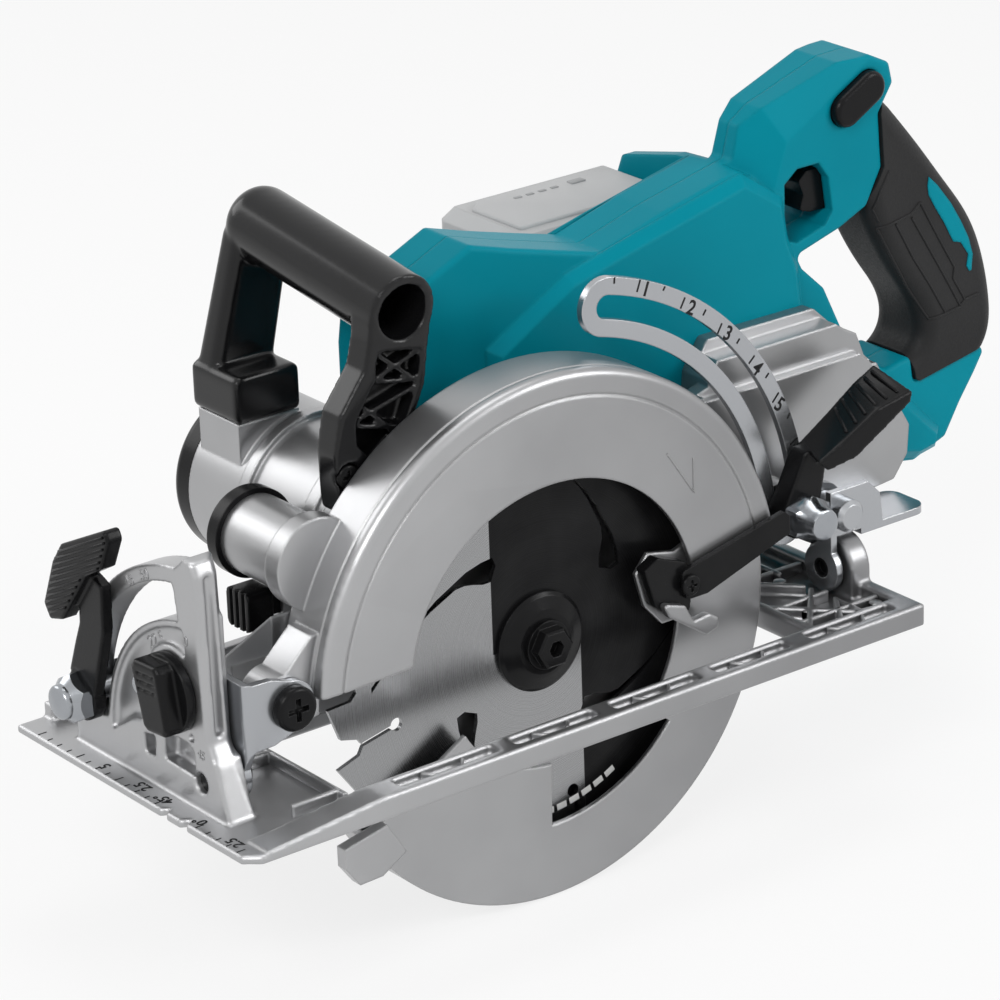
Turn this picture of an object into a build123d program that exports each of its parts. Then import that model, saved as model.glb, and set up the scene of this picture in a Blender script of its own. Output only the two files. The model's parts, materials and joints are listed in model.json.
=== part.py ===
from build123d import *
import os
from math import acos, atan2, cos, degrees, hypot, pi, radians, sin, sqrt, tan

# Cordless circular saw with a rear handle and the blade on its left side.
# Origin on the spindle axis in the middle of the blade. +X runs to the rear handle,
# +Y to the motor and +Z up. Millimetres.

os.makedirs("parts", exist_ok=True)

# Fits
run_fit = 0.05
slide_fit = 0.4
face_gap = 0.4
seat_gap = 0.3

# Blade and its clamping
blade_r = 95.0
blade_t = 1.8
blade_bore_r = 15.0
blade_teeth = 24
gullet_depth = 11.0
flange_r = 19.4
flange_t = 4.6
bolt_r = 4.0
bolt_head_t = 6.5

# Gear train from motor to spindle through one idler
gear_module = 1.0
spindle_teeth = 38
idler_teeth = 40
pinion_teeth = 10
tooth_addendum = 0.6
tooth_dedendum = 0.95
tooth_backlash = 0.2
pressure_angle = 20.0
gear_w = 10.0
motor_at = (-42.0, 44.0)
spindle_seat_r = 7.5
spindle_tail_r = 5.0
idler_shaft_r = 5.0
rotor_shaft_r = 4.0

# Guards
guard_gap = 3.0
lower_rim_t = 2.5
lower_wall = 2.0
lower_near_y = -9.0
lower_far_y = 8.5
lower_open_angle = 100.0
upper_gap = 2.0
upper_rim_t = 4.0
upper_side_gap = 1.5
upper_near_wall = 2.5
upper_back_wall = 3.0
guard_window_r = 65.5
guard_front_z = 11.8
guard_rear_z = 14.0
guard_back_z = -6.0
guard_pivot_r = 20.0
guard_hub_t = 7.0

# Sole plate and its two hinge axes
sole_drop = 26.5
sole_z = -sole_drop
sole_toe = 10.5
sole_heel = 8.0
sole_near_y = -41.0
sole_far_y = 109.0
sole_t = 3.2
rail_h = 9.0
rail_w = 13.0
slot_front_gap = 3.5
slot_rear_gap = 5.5
slot_far_y = 37.0
pivot_reach = 9.5
depth_range = 32.0
bevel_axis = (3.0, sole_z + 14.0)
bevel_range = 53.0
bevel_pin_r = 4.0
quadrant_reach = 32.0
quadrant_t = 12.0
quadrant_r = 80.0
bevel_bolt_reach = 68.6
bevel_bolt_angle = 10.5
bevel_bolt_r = 4.0
plate_gap = 0.5

# Depth guide
clamp_reach = 21.0
rivet_reach = 19.5
link_ratio = 0.61
link_t = 3.0
link_y = 8.5
link_half_w = 11.3
link_slot_fit = 0.6
clamp_r = 4.0
sheet_t = 3.0

# Motor and housings
floor_t = 4.0
gear_side_gap = 1.0
drum_r = 33.5
drum_wall = 3.0
drum_end_y = 112.0
end_cover_t = 12.0
housing_wall = 3.0
rotor_core_r = 15.5
air_gap = 0.7
stator_w = 40.0
fan_r = 26.0

# Handle housing, split in its middle plane
body_mid_y = 60.0
body_half_w = 20.0
shell_wall = 3.0
grip_half_w = 16.0
grip_sleeve_t = 4.0

# Battery
battery_size = (84.5, 57.0, 112.0)
battery_centre_x = 106.75
battery_bottom_z = 6.0
rail_stem = (18.0, 3.5)
rail_head = (30.0, 3.5)
battery_travel = 118.0

# Planes across the saw, from the blade outwards
lower_rim_r = blade_r + guard_gap + lower_rim_t
upper_in_r = lower_rim_r + upper_gap
upper_out_r = upper_in_r + upper_rim_t
upper_near_in = lower_near_y - upper_side_gap
upper_near_y = upper_near_in - upper_near_wall
upper_far_in = lower_far_y + upper_side_gap
back_y = upper_far_in + upper_back_wall
gear_floor_y = back_y + floor_t
gear_y = gear_floor_y + gear_side_gap
gear_end_y = gear_y + gear_w
cover_y = gear_end_y + 3.0 * gear_side_gap
drum_y = cover_y + floor_t
body_near_y = body_mid_y - body_half_w
body_far_y = body_mid_y + body_half_w

# Places along the saw, from the guard's rim outwards
depth_pivot = (-upper_out_r - pivot_reach, 11.5)
quadrant_x = depth_pivot[0] - quadrant_reach
sole_front_x = quadrant_x - sole_toe
clamp_at = (upper_out_r + clamp_reach, 14.5)
rivet_at = (clamp_at[0] + rivet_reach, 10.5)
sole_rear_x = rivet_at[0] + sole_heel
slot_front_x = -lower_rim_r - slot_front_gap
slot_rear_x = lower_rim_r + slot_rear_gap


def side(y):
    return Plane.XZ.offset(-y)


def front(x):
    return Plane.YZ.offset(x)


def level(z):
    return Plane.XY.offset(z)


def turn(point, centre, angle):
    c = cos(radians(angle))
    s = sin(radians(angle))
    dx = point[0] - centre[0]
    dz = point[1] - centre[1]
    return (centre[0] + c * dx - s * dz, centre[1] + s * dx + c * dz)


def polar(centre, reach, angle):
    return (centre[0] + reach * cos(radians(angle)), centre[1] + reach * sin(radians(angle)))


def moved(points, at):
    return [(at[0] + x, at[1] + z) for x, z in points]


def outline(points, corner=0.0):
    with BuildSketch() as shape:
        with BuildLine():
            Polyline(*points, close=True)
        make_face()
        if corner > 0:
            fillet(shape.vertices(), corner)
    return shape.sketch


def plate_y(points, y_low, y_high, corner=0.0, mode=Mode.ADD):
    face = side(y_high) * outline(points, corner)
    extrude(face, amount=y_high - y_low, mode=mode)


def plate_x(points, x_low, x_high, corner=0.0, mode=Mode.ADD):
    face = front(x_low) * outline(points, corner)
    extrude(face, amount=x_high - x_low, mode=mode)


def plate_z(points, z_low, z_high, corner=0.0, mode=Mode.ADD):
    face = level(z_low) * outline(points, corner)
    extrude(face, amount=z_high - z_low, mode=mode)


def rod_y(radius, y_low, y_high, at=(0.0, 0.0), mode=Mode.ADD):
    with Locations((at[0], (y_low + y_high) / 2, at[1])):
        Cylinder(radius, y_high - y_low, rotation=(90, 0, 0), mode=mode)


def rod_x(radius, x_low, x_high, at=(0.0, 0.0), mode=Mode.ADD):
    with Locations(((x_low + x_high) / 2, at[0], at[1])):
        Cylinder(radius, x_high - x_low, rotation=(0, 90, 0), mode=mode)


def block(x_span, y_span, z_span, mode=Mode.ADD):
    centre = [(span[0] + span[1]) / 2 for span in (x_span, y_span, z_span)]
    with Locations(tuple(centre)):
        Box(x_span[1] - x_span[0], y_span[1] - y_span[0], z_span[1] - z_span[0], mode=mode)


def sector(r_in, r_out, start, end, centre=(0.0, 0.0)):
    with BuildSketch() as shape:
        with BuildLine():
            outer = CenterArc(centre, r_out, start, end - start)
            inner = CenterArc(centre, r_in, start, end - start)
            Line(outer @ 0, inner @ 0)
            Line(outer @ 1, inner @ 1)
        make_face()
    return shape.sketch


def sector_y(r_in, r_out, start, end, y_low, y_high, mode=Mode.ADD):
    extrude(side(y_high) * sector(r_in, r_out, start, end), amount=y_high - y_low, mode=mode)


def sector_x(r_in, r_out, start, end, x_low, x_high, centre, mode=Mode.ADD):
    extrude(front(x_low) * sector(r_in, r_out, start, end, centre), amount=x_high - x_low, mode=mode)


def turned(points, at=(0.0, 0.0)):
    with BuildSketch(Plane(origin=(at[0], 0, at[1]), x_dir=(1, 0, 0), z_dir=(0, 0, 1))) as half:
        with BuildLine():
            Polyline(*points, close=True)
        make_face()
    revolve(half.sketch, axis=Axis((at[0], 0, at[1]), (0, 1, 0)))


def hex_y(across, y_low, y_high, at=(0.0, 0.0), mode=Mode.ADD):
    with BuildSketch(side(y_high)) as flat:
        with Locations(at):
            RegularPolygon(across / 2, 6, major_radius=False)
    extrude(flat.sketch, amount=y_high - y_low, mode=mode)


def hex_x(across, x_low, x_high, at=(0.0, 0.0), mode=Mode.ADD):
    with BuildSketch(front(x_low)) as flat:
        with Locations(at):
            RegularPolygon(across / 2, 6, major_radius=False)
    extrude(flat.sketch, amount=x_high - x_low, mode=mode)


def strip(start, end, width):
    angle = atan2(end[1] - start[1], end[0] - start[0])
    across = (-sin(angle) * width / 2, cos(angle) * width / 2)
    return [
        (start[0] + across[0], start[1] + across[1]),
        (end[0] + across[0], end[1] + across[1]),
        (end[0] - across[0], end[1] - across[1]),
        (start[0] - across[0], start[1] - across[1]),
    ]


def cross_y(y, size, depth, at):
    arm = size / 4
    block((at[0] - size, at[0] + size), (y, y + depth), (at[1] - arm, at[1] + arm), Mode.SUBTRACT)
    block((at[0] - arm, at[0] + arm), (y, y + depth), (at[1] - size, at[1] + size), Mode.SUBTRACT)


def save(piece, name):
    piece.part.label = name
    export_step(piece.part, "parts/" + name + ".step")


# Gear geometry: pitch circles, the idler's place and the tooth phases that mesh at rest

spindle_pitch_r = gear_module * spindle_teeth / 2
idler_pitch_r = gear_module * idler_teeth / 2
pinion_pitch_r = gear_module * pinion_teeth / 2


def meeting_point(first, r_first, second, r_second):
    span = hypot(second[0] - first[0], second[1] - first[1])
    along = (span**2 + r_first**2 - r_second**2) / (2 * span)
    across = sqrt(r_first**2 - along**2)
    ux = (second[0] - first[0]) / span
    uz = (second[1] - first[1]) / span
    return (first[0] + along * ux + across * uz, first[1] + along * uz - across * ux)


idler_at = meeting_point(
    (0.0, 0.0), spindle_pitch_r + idler_pitch_r, motor_at, idler_pitch_r + pinion_pitch_r
)


def bearing_angle(start, end):
    return degrees(atan2(end[1] - start[1], end[0] - start[0]))


spindle_phase = bearing_angle((0, 0), idler_at)
idler_phase = bearing_angle(idler_at, (0, 0)) + 180.0 / idler_teeth
idler_pitch = 360.0 / idler_teeth
to_pinion = bearing_angle(idler_at, motor_at)
idler_lag = (to_pinion - idler_phase) % idler_pitch
pinion_phase = to_pinion + 180.0 + idler_lag * idler_teeth / pinion_teeth + 180.0 / pinion_teeth


def gear_outline(teeth, phase):
    pitch_r = gear_module * teeth / 2
    base_r = pitch_r * cos(radians(pressure_angle))
    tip_r = pitch_r + gear_module * tooth_addendum
    root_r = pitch_r - gear_module * tooth_dedendum
    half_tooth = (pi * gear_module / 2 - tooth_backlash) / 2 / pitch_r
    flank_start = max(base_r, root_r)
    pressure = radians(pressure_angle)
    steps = 4
    flank = []
    for i in range(steps + 1):
        r = flank_start + (tip_r - flank_start) * i / steps
        roll = acos(min(1.0, base_r / r))
        flank.append((r, half_tooth + tan(pressure) - pressure - tan(roll) + roll))
    if root_r < flank_start:
        flank.insert(0, (root_r, flank[0][1]))
    points = []
    for tooth in range(teeth):
        centre = radians(phase) + 2 * pi * tooth / teeth
        for r, lean in flank:
            points.append((r * cos(centre - lean), r * sin(centre - lean)))
        for r, lean in reversed(flank):
            points.append((r * cos(centre + lean), r * sin(centre + lean)))
    return points


def gear_y_axis(teeth, phase, at):
    points = [(at[0] + x, at[1] + z) for x, z in gear_outline(teeth, phase)]
    plate_y(points, gear_y, gear_end_y)


# Blade: toothed disc with expansion slots

blade_tooth = []
for reach, angle in (
    (0.0, 0.0),
    (-4.0, 8.0),
    (-gullet_depth, 10.0),
    (-gullet_depth - 1.5, 12.5),
    (-gullet_depth + 1.0, 14.4),
    (3.0, 14.9),
    (3.0, 7.0),
):
    blade_tooth.append(polar((0, 0), blade_r + reach, angle * 24.0 / blade_teeth))

# Curved relief slots: narrow towards the rim, wide towards the hub
relief_edge = (
    (0.800, 87.4), (0.700, 78.4), (0.614, 66.0), (0.570, 57.7), (0.507, 41.7), (0.478, 33.5),
    (0.455, 27.2), (0.415, 27.8), (0.376, 35.4), (0.400, 40.0), (0.440, 43.6), (0.474, 46.6),
    (0.504, 50.3), (0.574, 62.6), (0.617, 68.6), (0.702, 80.2), (0.797, 88.9),
)
relief_slot = [polar((0, 0), blade_r * share, angle) for share, angle in relief_edge]

with BuildPart() as blade:
    with BuildSketch(side(blade_t / 2)) as disc:
        Circle(blade_r)
        Circle(blade_bore_r, mode=Mode.SUBTRACT)
        with PolarLocations(0, blade_teeth):
            Polygon(*blade_tooth, align=None, mode=Mode.SUBTRACT)
        with PolarLocations(blade_r - gullet_depth - 9.0, 4, start_angle=12.0):
            SlotOverall(16.0, 1.6, mode=Mode.SUBTRACT)
        with PolarLocations(blade_r - gullet_depth - 17.0, 4, start_angle=12.0):
            Circle(2.6, mode=Mode.SUBTRACT)
        with PolarLocations(0, 4):
            Polygon(*relief_slot, align=None, mode=Mode.SUBTRACT)
    extrude(amount=blade_t)
save(blade, "blade")

# Blade clamping: two flanges, the bolt and the spindle

blade_half = blade_t / 2
inner_flange_y = lower_far_y - lower_wall - 1.1
pilot_r = blade_bore_r - run_fit
nose_r = spindle_seat_r - 0.5

with BuildPart() as inner_flange:
    turned(
        [
            (nose_r, -blade_half + 0.2),
            (pilot_r, -blade_half + 0.2),
            (pilot_r, blade_half),
            (flange_r, blade_half),
            (flange_r, inner_flange_y - 1.0),
            (flange_r - 2.0, inner_flange_y),
            (nose_r, inner_flange_y),
        ]
    )
save(inner_flange, "inner_flange")

outer_flange_y = -blade_half - flange_t
with BuildPart() as outer_flange:
    turned(
        [
            (bolt_r, -blade_half),
            (flange_r, -blade_half),
            (flange_r, -blade_half - 1.6),
            (flange_r - 1.4, -blade_half - 2.6),
            (flange_r - 6.0, outer_flange_y + 0.4),
            (flange_r - 7.5, outer_flange_y),
            (bolt_r, outer_flange_y),
        ]
    )
save(outer_flange, "outer_flange")

bolt_end_y = outer_flange_y - bolt_head_t
with BuildPart() as blade_bolt:
    rod_y(bolt_r, outer_flange_y - 1.0, gear_end_y - 6.0)
    rod_y(9.5, outer_flange_y - 1.6, outer_flange_y)
    hex_y(14.0, bolt_end_y, outer_flange_y - 1.6)
    chamfer(blade_bolt.faces().sort_by(Axis.Y)[0].edges(), 0.8)
    hex_y(6.0, bolt_end_y, bolt_end_y + 4.0, mode=Mode.SUBTRACT)
save(blade_bolt, "blade_bolt")

boss_end_y = inner_flange_y + 0.5
front_bearing_y = (boss_end_y + 1.2, boss_end_y + 10.2)
tail_bearing_y = (cover_y, cover_y + 7.0)
with BuildPart() as spindle:
    rod_y(nose_r, -blade_half + 0.2, front_bearing_y[0])
    rod_y(spindle_seat_r, front_bearing_y[0], gear_y)
    rod_y(nose_r, gear_y, gear_end_y)
    rod_y(spindle_tail_r, gear_end_y, tail_bearing_y[1])
    rod_y(bolt_r, -blade_half, gear_end_y - 5.0, mode=Mode.SUBTRACT)
save(spindle, "spindle")

with BuildPart() as spindle_gear:
    gear_y_axis(spindle_teeth, spindle_phase, (0.0, 0.0))
    rod_y(nose_r, gear_y, gear_end_y, mode=Mode.SUBTRACT)
save(spindle_gear, "spindle_gear")

with BuildPart() as idler_gear:
    gear_y_axis(idler_teeth, idler_phase, idler_at)
    rod_y(idler_shaft_r, back_y + 0.6, cover_y + floor_t, idler_at)
save(idler_gear, "idler_gear")

# Rotor: shaft with the pinion, magnet core and fan

stator_y = drum_y + 10.0
core_y = (stator_y + 3.0, stator_y + stator_w - 3.0)
fan_y = (stator_y + stator_w + 5.0, stator_y + stator_w + 15.0)
rear_bearing_y = (drum_end_y - 7.0, drum_end_y)

with BuildPart() as rotor_shaft:
    gear_y_axis(pinion_teeth, pinion_phase, motor_at)
    rod_y(rotor_shaft_r, gear_end_y, rear_bearing_y[1], motor_at)
save(rotor_shaft, "rotor_shaft")

with BuildPart() as rotor_core:
    rod_y(rotor_core_r, core_y[0], core_y[1], motor_at)
    rod_y(rotor_shaft_r, core_y[0], core_y[1], motor_at, Mode.SUBTRACT)
save(rotor_core, "rotor_core")

with BuildPart() as fan:
    rod_y(fan_r, fan_y[0], fan_y[0] + 1.6, motor_at)
    rod_y(9.0, fan_y[0], fan_y[1], motor_at)
    with BuildSketch(side(fan_y[1])) as vanes:
        with Locations(motor_at):
            with PolarLocations((fan_r + 8.0) / 2, 11):
                Rectangle(fan_r - 8.0, 1.4)
    extrude(vanes.sketch, amount=fan_y[1] - fan_y[0])
    rod_y(rotor_shaft_r, fan_y[0], fan_y[1], motor_at, Mode.SUBTRACT)
save(fan, "fan")

drum_in_r = drum_r - drum_wall
with BuildPart() as stator:
    rod_y(drum_in_r, stator_y, stator_y + stator_w, motor_at)
    with BuildSketch(side(stator_y + stator_w)) as slots:
        with Locations(motor_at):
            with PolarLocations((rotor_core_r + drum_in_r) / 2, 6):
                Rectangle(9.0, 5.0)
    extrude(slots.sketch, amount=stator_w, mode=Mode.SUBTRACT)
    rod_y(rotor_core_r + air_gap, stator_y, stator_y + stator_w, motor_at, Mode.SUBTRACT)
save(stator, "stator")

# Ball bearings, drawn as shielded rings: spindle, idler and rotor, a pair for each

front_bearing_r = 14.0
tail_bearing_r = 11.0
small_bearing_r = 9.5
bearing_list = [
    ((0.0, 0.0), spindle_seat_r, front_bearing_r, front_bearing_y),
    ((0.0, 0.0), spindle_tail_r, tail_bearing_r, tail_bearing_y),
    (idler_at, idler_shaft_r, small_bearing_r, (back_y + 0.6, gear_floor_y)),
    (idler_at, idler_shaft_r, small_bearing_r, (cover_y, drum_y)),
    (motor_at, rotor_shaft_r, small_bearing_r, (cover_y, drum_y)),
    (motor_at, rotor_shaft_r, small_bearing_r, rear_bearing_y),
]
with BuildPart() as bearings:
    for at, r_in, r_out, span in bearing_list:
        rod_y(r_out, span[0], span[1], at)
    for at, r_in, r_out, span in bearing_list:
        rod_y(r_in + run_fit, span[0], span[1], at, Mode.SUBTRACT)
save(bearings, "bearings")

# Gear housing: gear case, rear arm and the ribbed block that carries the depth clamp

tip_room = gear_module * tooth_addendum + 1.4
spindle_case_r = spindle_pitch_r + tip_room
idler_case_r = idler_pitch_r + tip_room
pinion_case_r = pinion_pitch_r + tip_room + 3.0


def gear_case(extra, pinion_r):
    with BuildSketch() as shape:
        with Locations((0.0, 0.0)):
            Circle(spindle_case_r + extra)
        with Locations(idler_at):
            Circle(idler_case_r + extra)
        with Locations(motor_at):
            Circle(pinion_r)
        make_hull()
    return shape.sketch


block_near_y = 20.0
block_outline = [
    (100.0, 30.0),
    (104.0, 68.0),
    (112.0, 80.0),
    (165.0, 79.5),
    (173.0, 72.0),
    (181.0, 67.0),
    (185.0, 56.0),
    (195.0, 38.0),
    (202.0, 26.0),
    (201.0, 14.0),
    (194.0, 5.0),
    (172.0, 3.0),
    (118.0, 5.0),
]
arm_outline = [(14.0, -14.0), (14.0, 40.0), (106.0, 66.0), (122.0, 30.0), (122.0, 8.0), (60.0, 4.0)]
upper_ledge = [
    (98.0, 75.0),
    (168.0, 75.0),
    (173.0, 71.5),
    (178.0, 69.0),
    (182.0, 59.0),
    (185.0, 56.0),
    (192.0, 62.0),
    (192.0, 92.0),
    (98.0, 92.0),
]
middle_ledge = [
    (98.0, 62.0),
    (176.5, 62.0),
    (183.0, 56.0),
    (192.0, 56.0),
    (192.0, 92.0),
    (98.0, 92.0),
]
with BuildPart() as gear_housing:
    extrude(side(cover_y) * gear_case(housing_wall, drum_r), amount=cover_y - back_y)
    plate_y(block_outline, block_near_y, body_near_y, corner=2.0)
    plate_y(arm_outline, block_near_y, cover_y, corner=2.0)
    rod_y(9.0, link_y + link_t + face_gap, block_near_y + 4.0, clamp_at)
    extrude(
        side(cover_y) * gear_case(0.0, pinion_case_r),
        amount=cover_y - gear_floor_y,
        mode=Mode.SUBTRACT,
    )
    plate_y(upper_ledge, block_near_y, 34.0, mode=Mode.SUBTRACT)
    plate_y(middle_ledge, block_near_y, 24.0, mode=Mode.SUBTRACT)
    rod_y(guard_pivot_r, boss_end_y, back_y)
    rod_y(front_bearing_r, front_bearing_y[0], gear_floor_y, mode=Mode.SUBTRACT)
    rod_y(spindle_seat_r + 1.5, boss_end_y, front_bearing_y[0], mode=Mode.SUBTRACT)
    rod_y(small_bearing_r, back_y + 0.6, gear_floor_y, idler_at, Mode.SUBTRACT)
    rod_y(clamp_r, link_y, block_near_y + 12.0, clamp_at, Mode.SUBTRACT)
save(gear_housing, "gear_housing")

with BuildPart() as gear_cover:
    extrude(side(drum_y) * gear_case(housing_wall, drum_r), amount=floor_t)
    rod_y(tail_bearing_r + 3.0, cover_y, tail_bearing_y[1] + 2.0)
    rod_y(tail_bearing_r, cover_y, tail_bearing_y[1], mode=Mode.SUBTRACT)
    rod_y(small_bearing_r, cover_y, drum_y, idler_at, Mode.SUBTRACT)
    rod_y(small_bearing_r, cover_y, drum_y, motor_at, Mode.SUBTRACT)
save(gear_cover, "gear_cover")

# Upper guard: half drum over the blade with a round window and the depth pivot in front

tube_at = polar((0.0, 0.0), upper_out_r + 0.43, 149.36)
tube_r = 15.0
tube_bore_r = 13.0
pivot_screw_r = 4.0
spring_hole_r = guard_pivot_r + 3.4
pivot_boss_y = (-6.0, 8.0)
dish_depth = 5.0
dish_edge = [
    (11.0 - upper_out_r, guard_front_z - 6.0), (17.9 - upper_out_r, 45.3), (66.1 - upper_out_r, 73.5),
    polar((0.0, 0.0), guard_window_r, 71.0),
]
web_x = (depth_pivot[0], 2.5 - upper_out_r, 7.5 - upper_out_r)
pivot_web = [(web_x[0], 22.5), (web_x[1], 34.0), (web_x[2], 34.0), (web_x[2], 4.0), (web_x[0], 0.5)]
with BuildPart() as upper_guard:
    rod_y(upper_out_r, upper_near_y, back_y)
    fillet(upper_guard.edges().group_by(Axis.Y)[0], 3.0)
    fillet(upper_guard.edges().group_by(Axis.Y)[-1], 1.5)
    rod_y(tube_r + 2.5, back_y - 8.0, back_y, tube_at)
    block((-200, 0), (upper_near_y - 1, upper_far_in), (-200, guard_front_z), Mode.SUBTRACT)
    block((0, 200), (upper_near_y - 1, upper_far_in), (-200, guard_rear_z), Mode.SUBTRACT)
    block((-200, 200), (upper_near_y - 1, back_y + 1), (-200, guard_back_z), Mode.SUBTRACT)
    rod_y(11.0, pivot_boss_y[0], pivot_boss_y[1], depth_pivot)
    plate_y(pivot_web, pivot_boss_y[0], pivot_boss_y[1])
    rod_y(upper_in_r, upper_near_in, upper_far_in, mode=Mode.SUBTRACT)
    rod_y(guard_window_r, upper_near_y, upper_near_in, mode=Mode.SUBTRACT)
    rod_y(spring_hole_r, upper_far_in, back_y, mode=Mode.SUBTRACT)
    rod_y(tube_bore_r, back_y - 5.0, back_y, tube_at, Mode.SUBTRACT)
    rod_y(pivot_screw_r, pivot_boss_y[0], 4.0, depth_pivot, Mode.SUBTRACT)
    sector_y(upper_out_r - 10.1, upper_out_r - 9.1, guard_front_z / 2, 179.0, upper_near_y,
             upper_near_y + 0.5, Mode.SUBTRACT)
    sector_y(upper_out_r - 0.5, upper_out_r + 1.0, 2.0, 178.0, upper_near_y + 5.0,
             upper_near_y + 5.9, Mode.SUBTRACT)
    dish_from = dish_edge[:-1]
    dish_to = dish_edge[1:]
    for start, end in zip(dish_from, dish_to):
        rim_from = Vector(start[0], upper_near_y, start[1])
        rim_to = Vector(end[0], upper_near_y, end[1])
        low = Vector(0.0, upper_near_y + dish_depth, 0.0)
        dish_face = Face(Wire.make_polygon([rim_from, rim_to, low], close=True))
        extrude(dish_face, amount=dish_depth + 4.0, dir=(0, -1, 0), mode=Mode.SUBTRACT)
save(upper_guard, "upper_guard")

with BuildPart() as chip_tube:
    rod_y(tube_r, back_y, 44.0, tube_at)
    rod_y(tube_bore_r, back_y, 44.0, tube_at, Mode.SUBTRACT)
save(chip_tube, "chip_tube")

with BuildPart() as tube_ring:
    rod_y(tube_r + 2.0, 44.0, 51.0, tube_at)
    fillet(tube_ring.edges().group_by(Axis.Y)[-1], 1.5)
    rod_y(tube_bore_r, 44.0, 51.0, tube_at, Mode.SUBTRACT)
save(tube_ring, "tube_ring")

shroud_section = [
    (back_y, 22.0), (back_y, 36.5), (44.0, 11.0), (44.0, -5.0), (40.0, -5.0), (40.0, 8.0),
]
with BuildPart() as front_shroud:
    plate_x(shroud_section, -upper_out_r - 1.5, 13.5 - upper_out_r)
save(front_shroud, "front_shroud")

# Depth pivot screw with a cross recess
pivot_head_y = pivot_boss_y[0] - sheet_t - 2 * face_gap
with BuildPart() as depth_pivot_screw:
    rod_y(pivot_screw_r, pivot_head_y, 4.0, depth_pivot)
    rod_y(8.4, pivot_head_y - 3.8, pivot_head_y, depth_pivot)
    fillet(depth_pivot_screw.edges().group_by(Axis.Y)[0], 1.8)
    cross_y(pivot_head_y - 3.8, 4.4, 2.0, depth_pivot)
save(depth_pivot_screw, "depth_pivot_screw")

# Lower guard: swings about the gear housing boss inside the upper guard

lower_rim_in = lower_rim_r - lower_rim_t
hub_r = guard_pivot_r + run_fit
lug_outline = [
    (40.0, 17.0), (46.0, 24.0), (60.0, 21.0), (64.0, 10.0), (66.0, -6.0), (52.0, -6.0), (44.0, 3.0),
]
toe_outline = []
for reach, angle in (
    (-8.7, 209.4), (10.0, 206.3), (13.7, 209.9), (13.0, 214.9), (4.6, 217.9), (-8.0, 218.9),
):
    toe_outline.append(polar((0, 0), lower_rim_r + reach, angle))
with BuildPart() as lower_guard:
    sector_y(lower_rim_in, lower_rim_r, -150.0, 20.0, lower_near_y, lower_far_y)
    sector_y(47.0, lower_rim_r, -150.0, -92.0, lower_near_y, lower_near_y + lower_wall)
    sector_y(72.0, lower_rim_r, -92.5, -40.0, lower_near_y, lower_near_y + lower_wall)
    sector_y(60.0, lower_rim_r, -40.5, 20.0, lower_near_y, lower_near_y + lower_wall)
    plate_y(lug_outline, lower_near_y, lower_near_y + lower_wall)
    sector_y(hub_r, lower_rim_r, -150.0, 20.0, lower_far_y - lower_wall, lower_far_y)
    rod_y(hub_r + guard_hub_t, lower_far_y - lower_wall, lower_far_y + 0.9)
    rod_y(hub_r, lower_far_y - lower_wall, lower_far_y + 0.9, mode=Mode.SUBTRACT)
    plate_y(toe_outline, lower_near_y - 4.0, lower_near_y + 1.0)
    rod_y(lower_rim_in, lower_near_y + lower_wall, lower_far_y - lower_wall, mode=Mode.SUBTRACT)
save(lower_guard, "lower_guard")

with BuildPart() as guard_clip:
    rod_y(guard_pivot_r + 1.2, lower_far_y - lower_wall - 0.8, lower_far_y - lower_wall - 0.3)
    rod_y(guard_pivot_r, lower_far_y - lower_wall - 0.8, lower_far_y - lower_wall - 0.3,
          mode=Mode.SUBTRACT)
save(guard_clip, "guard_clip")

# Guard return spring: a flat spiral in the ring between boss and back wall

spring_turns = 3
spring_wire = 0.5
spring_pitch = 0.85
with BuildPart() as guard_spring:
    with BuildSketch(side(back_y - 0.3)) as spiral:
        with BuildLine() as path:
            reach = guard_pivot_r + 0.5
            for half in range(2 * spring_turns):
                shift = spring_pitch / 4
                if half % 2 == 0:
                    CenterArc((-shift, 0), reach + shift * (half + 1), 0, 180)
                else:
                    CenterArc((shift, 0), reach + shift * (half + 1), 180, 180)
        trace(path.edges(), spring_wire)
    extrude(amount=2.3)
save(guard_spring, "guard_spring")

# Finger lever of the lower guard: black knob, cast finger, steel bar and its screw

knob_y = upper_near_y - 1.4
knob_outline = [
    (40.0, 20.0), (46.5, 23.5), (59.5, 18.5), (63.0, 8.0), (61.0, -1.5), (52.0, -2.0), (45.0, 4.0),
]
finger_outline = [
    (45.4, 6.4), (48.4, 0.2), (66.0, -12.0), (72.0, -10.0), (72.0, -6.4), (67.6, -3.6), (60.0, -4.5),
    (56.0, 3.0),
]
bar_tip_x = upper_out_r + 2.3
bar_outline = [
    (56.0, 15.8), (58.0, 4.2), (68.0, 4.2), (bar_tip_x, 17.0), (bar_tip_x, 24.0), (bar_tip_x - 2.8, 26.5),
]
bar_t = 2.2
lever_screw_at = (59.5, 10.0)
lever_screw_r = 2.5
with BuildPart() as guard_knob:
    plate_y(knob_outline, knob_y, lower_near_y, corner=1.0)
    rod_y(lever_screw_r, knob_y, lower_near_y, lever_screw_at, Mode.SUBTRACT)
save(guard_knob, "guard_knob")

with BuildPart() as guard_finger:
    plate_y(finger_outline, knob_y - 3.8, knob_y, corner=1.2)
save(guard_finger, "guard_finger")

with BuildPart() as retracting_lever:
    plate_y(bar_outline, knob_y - bar_t, knob_y, corner=1.5)
    rod_y(lever_screw_r, knob_y - bar_t, knob_y, lever_screw_at, Mode.SUBTRACT)
save(retracting_lever, "retracting_lever")

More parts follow.
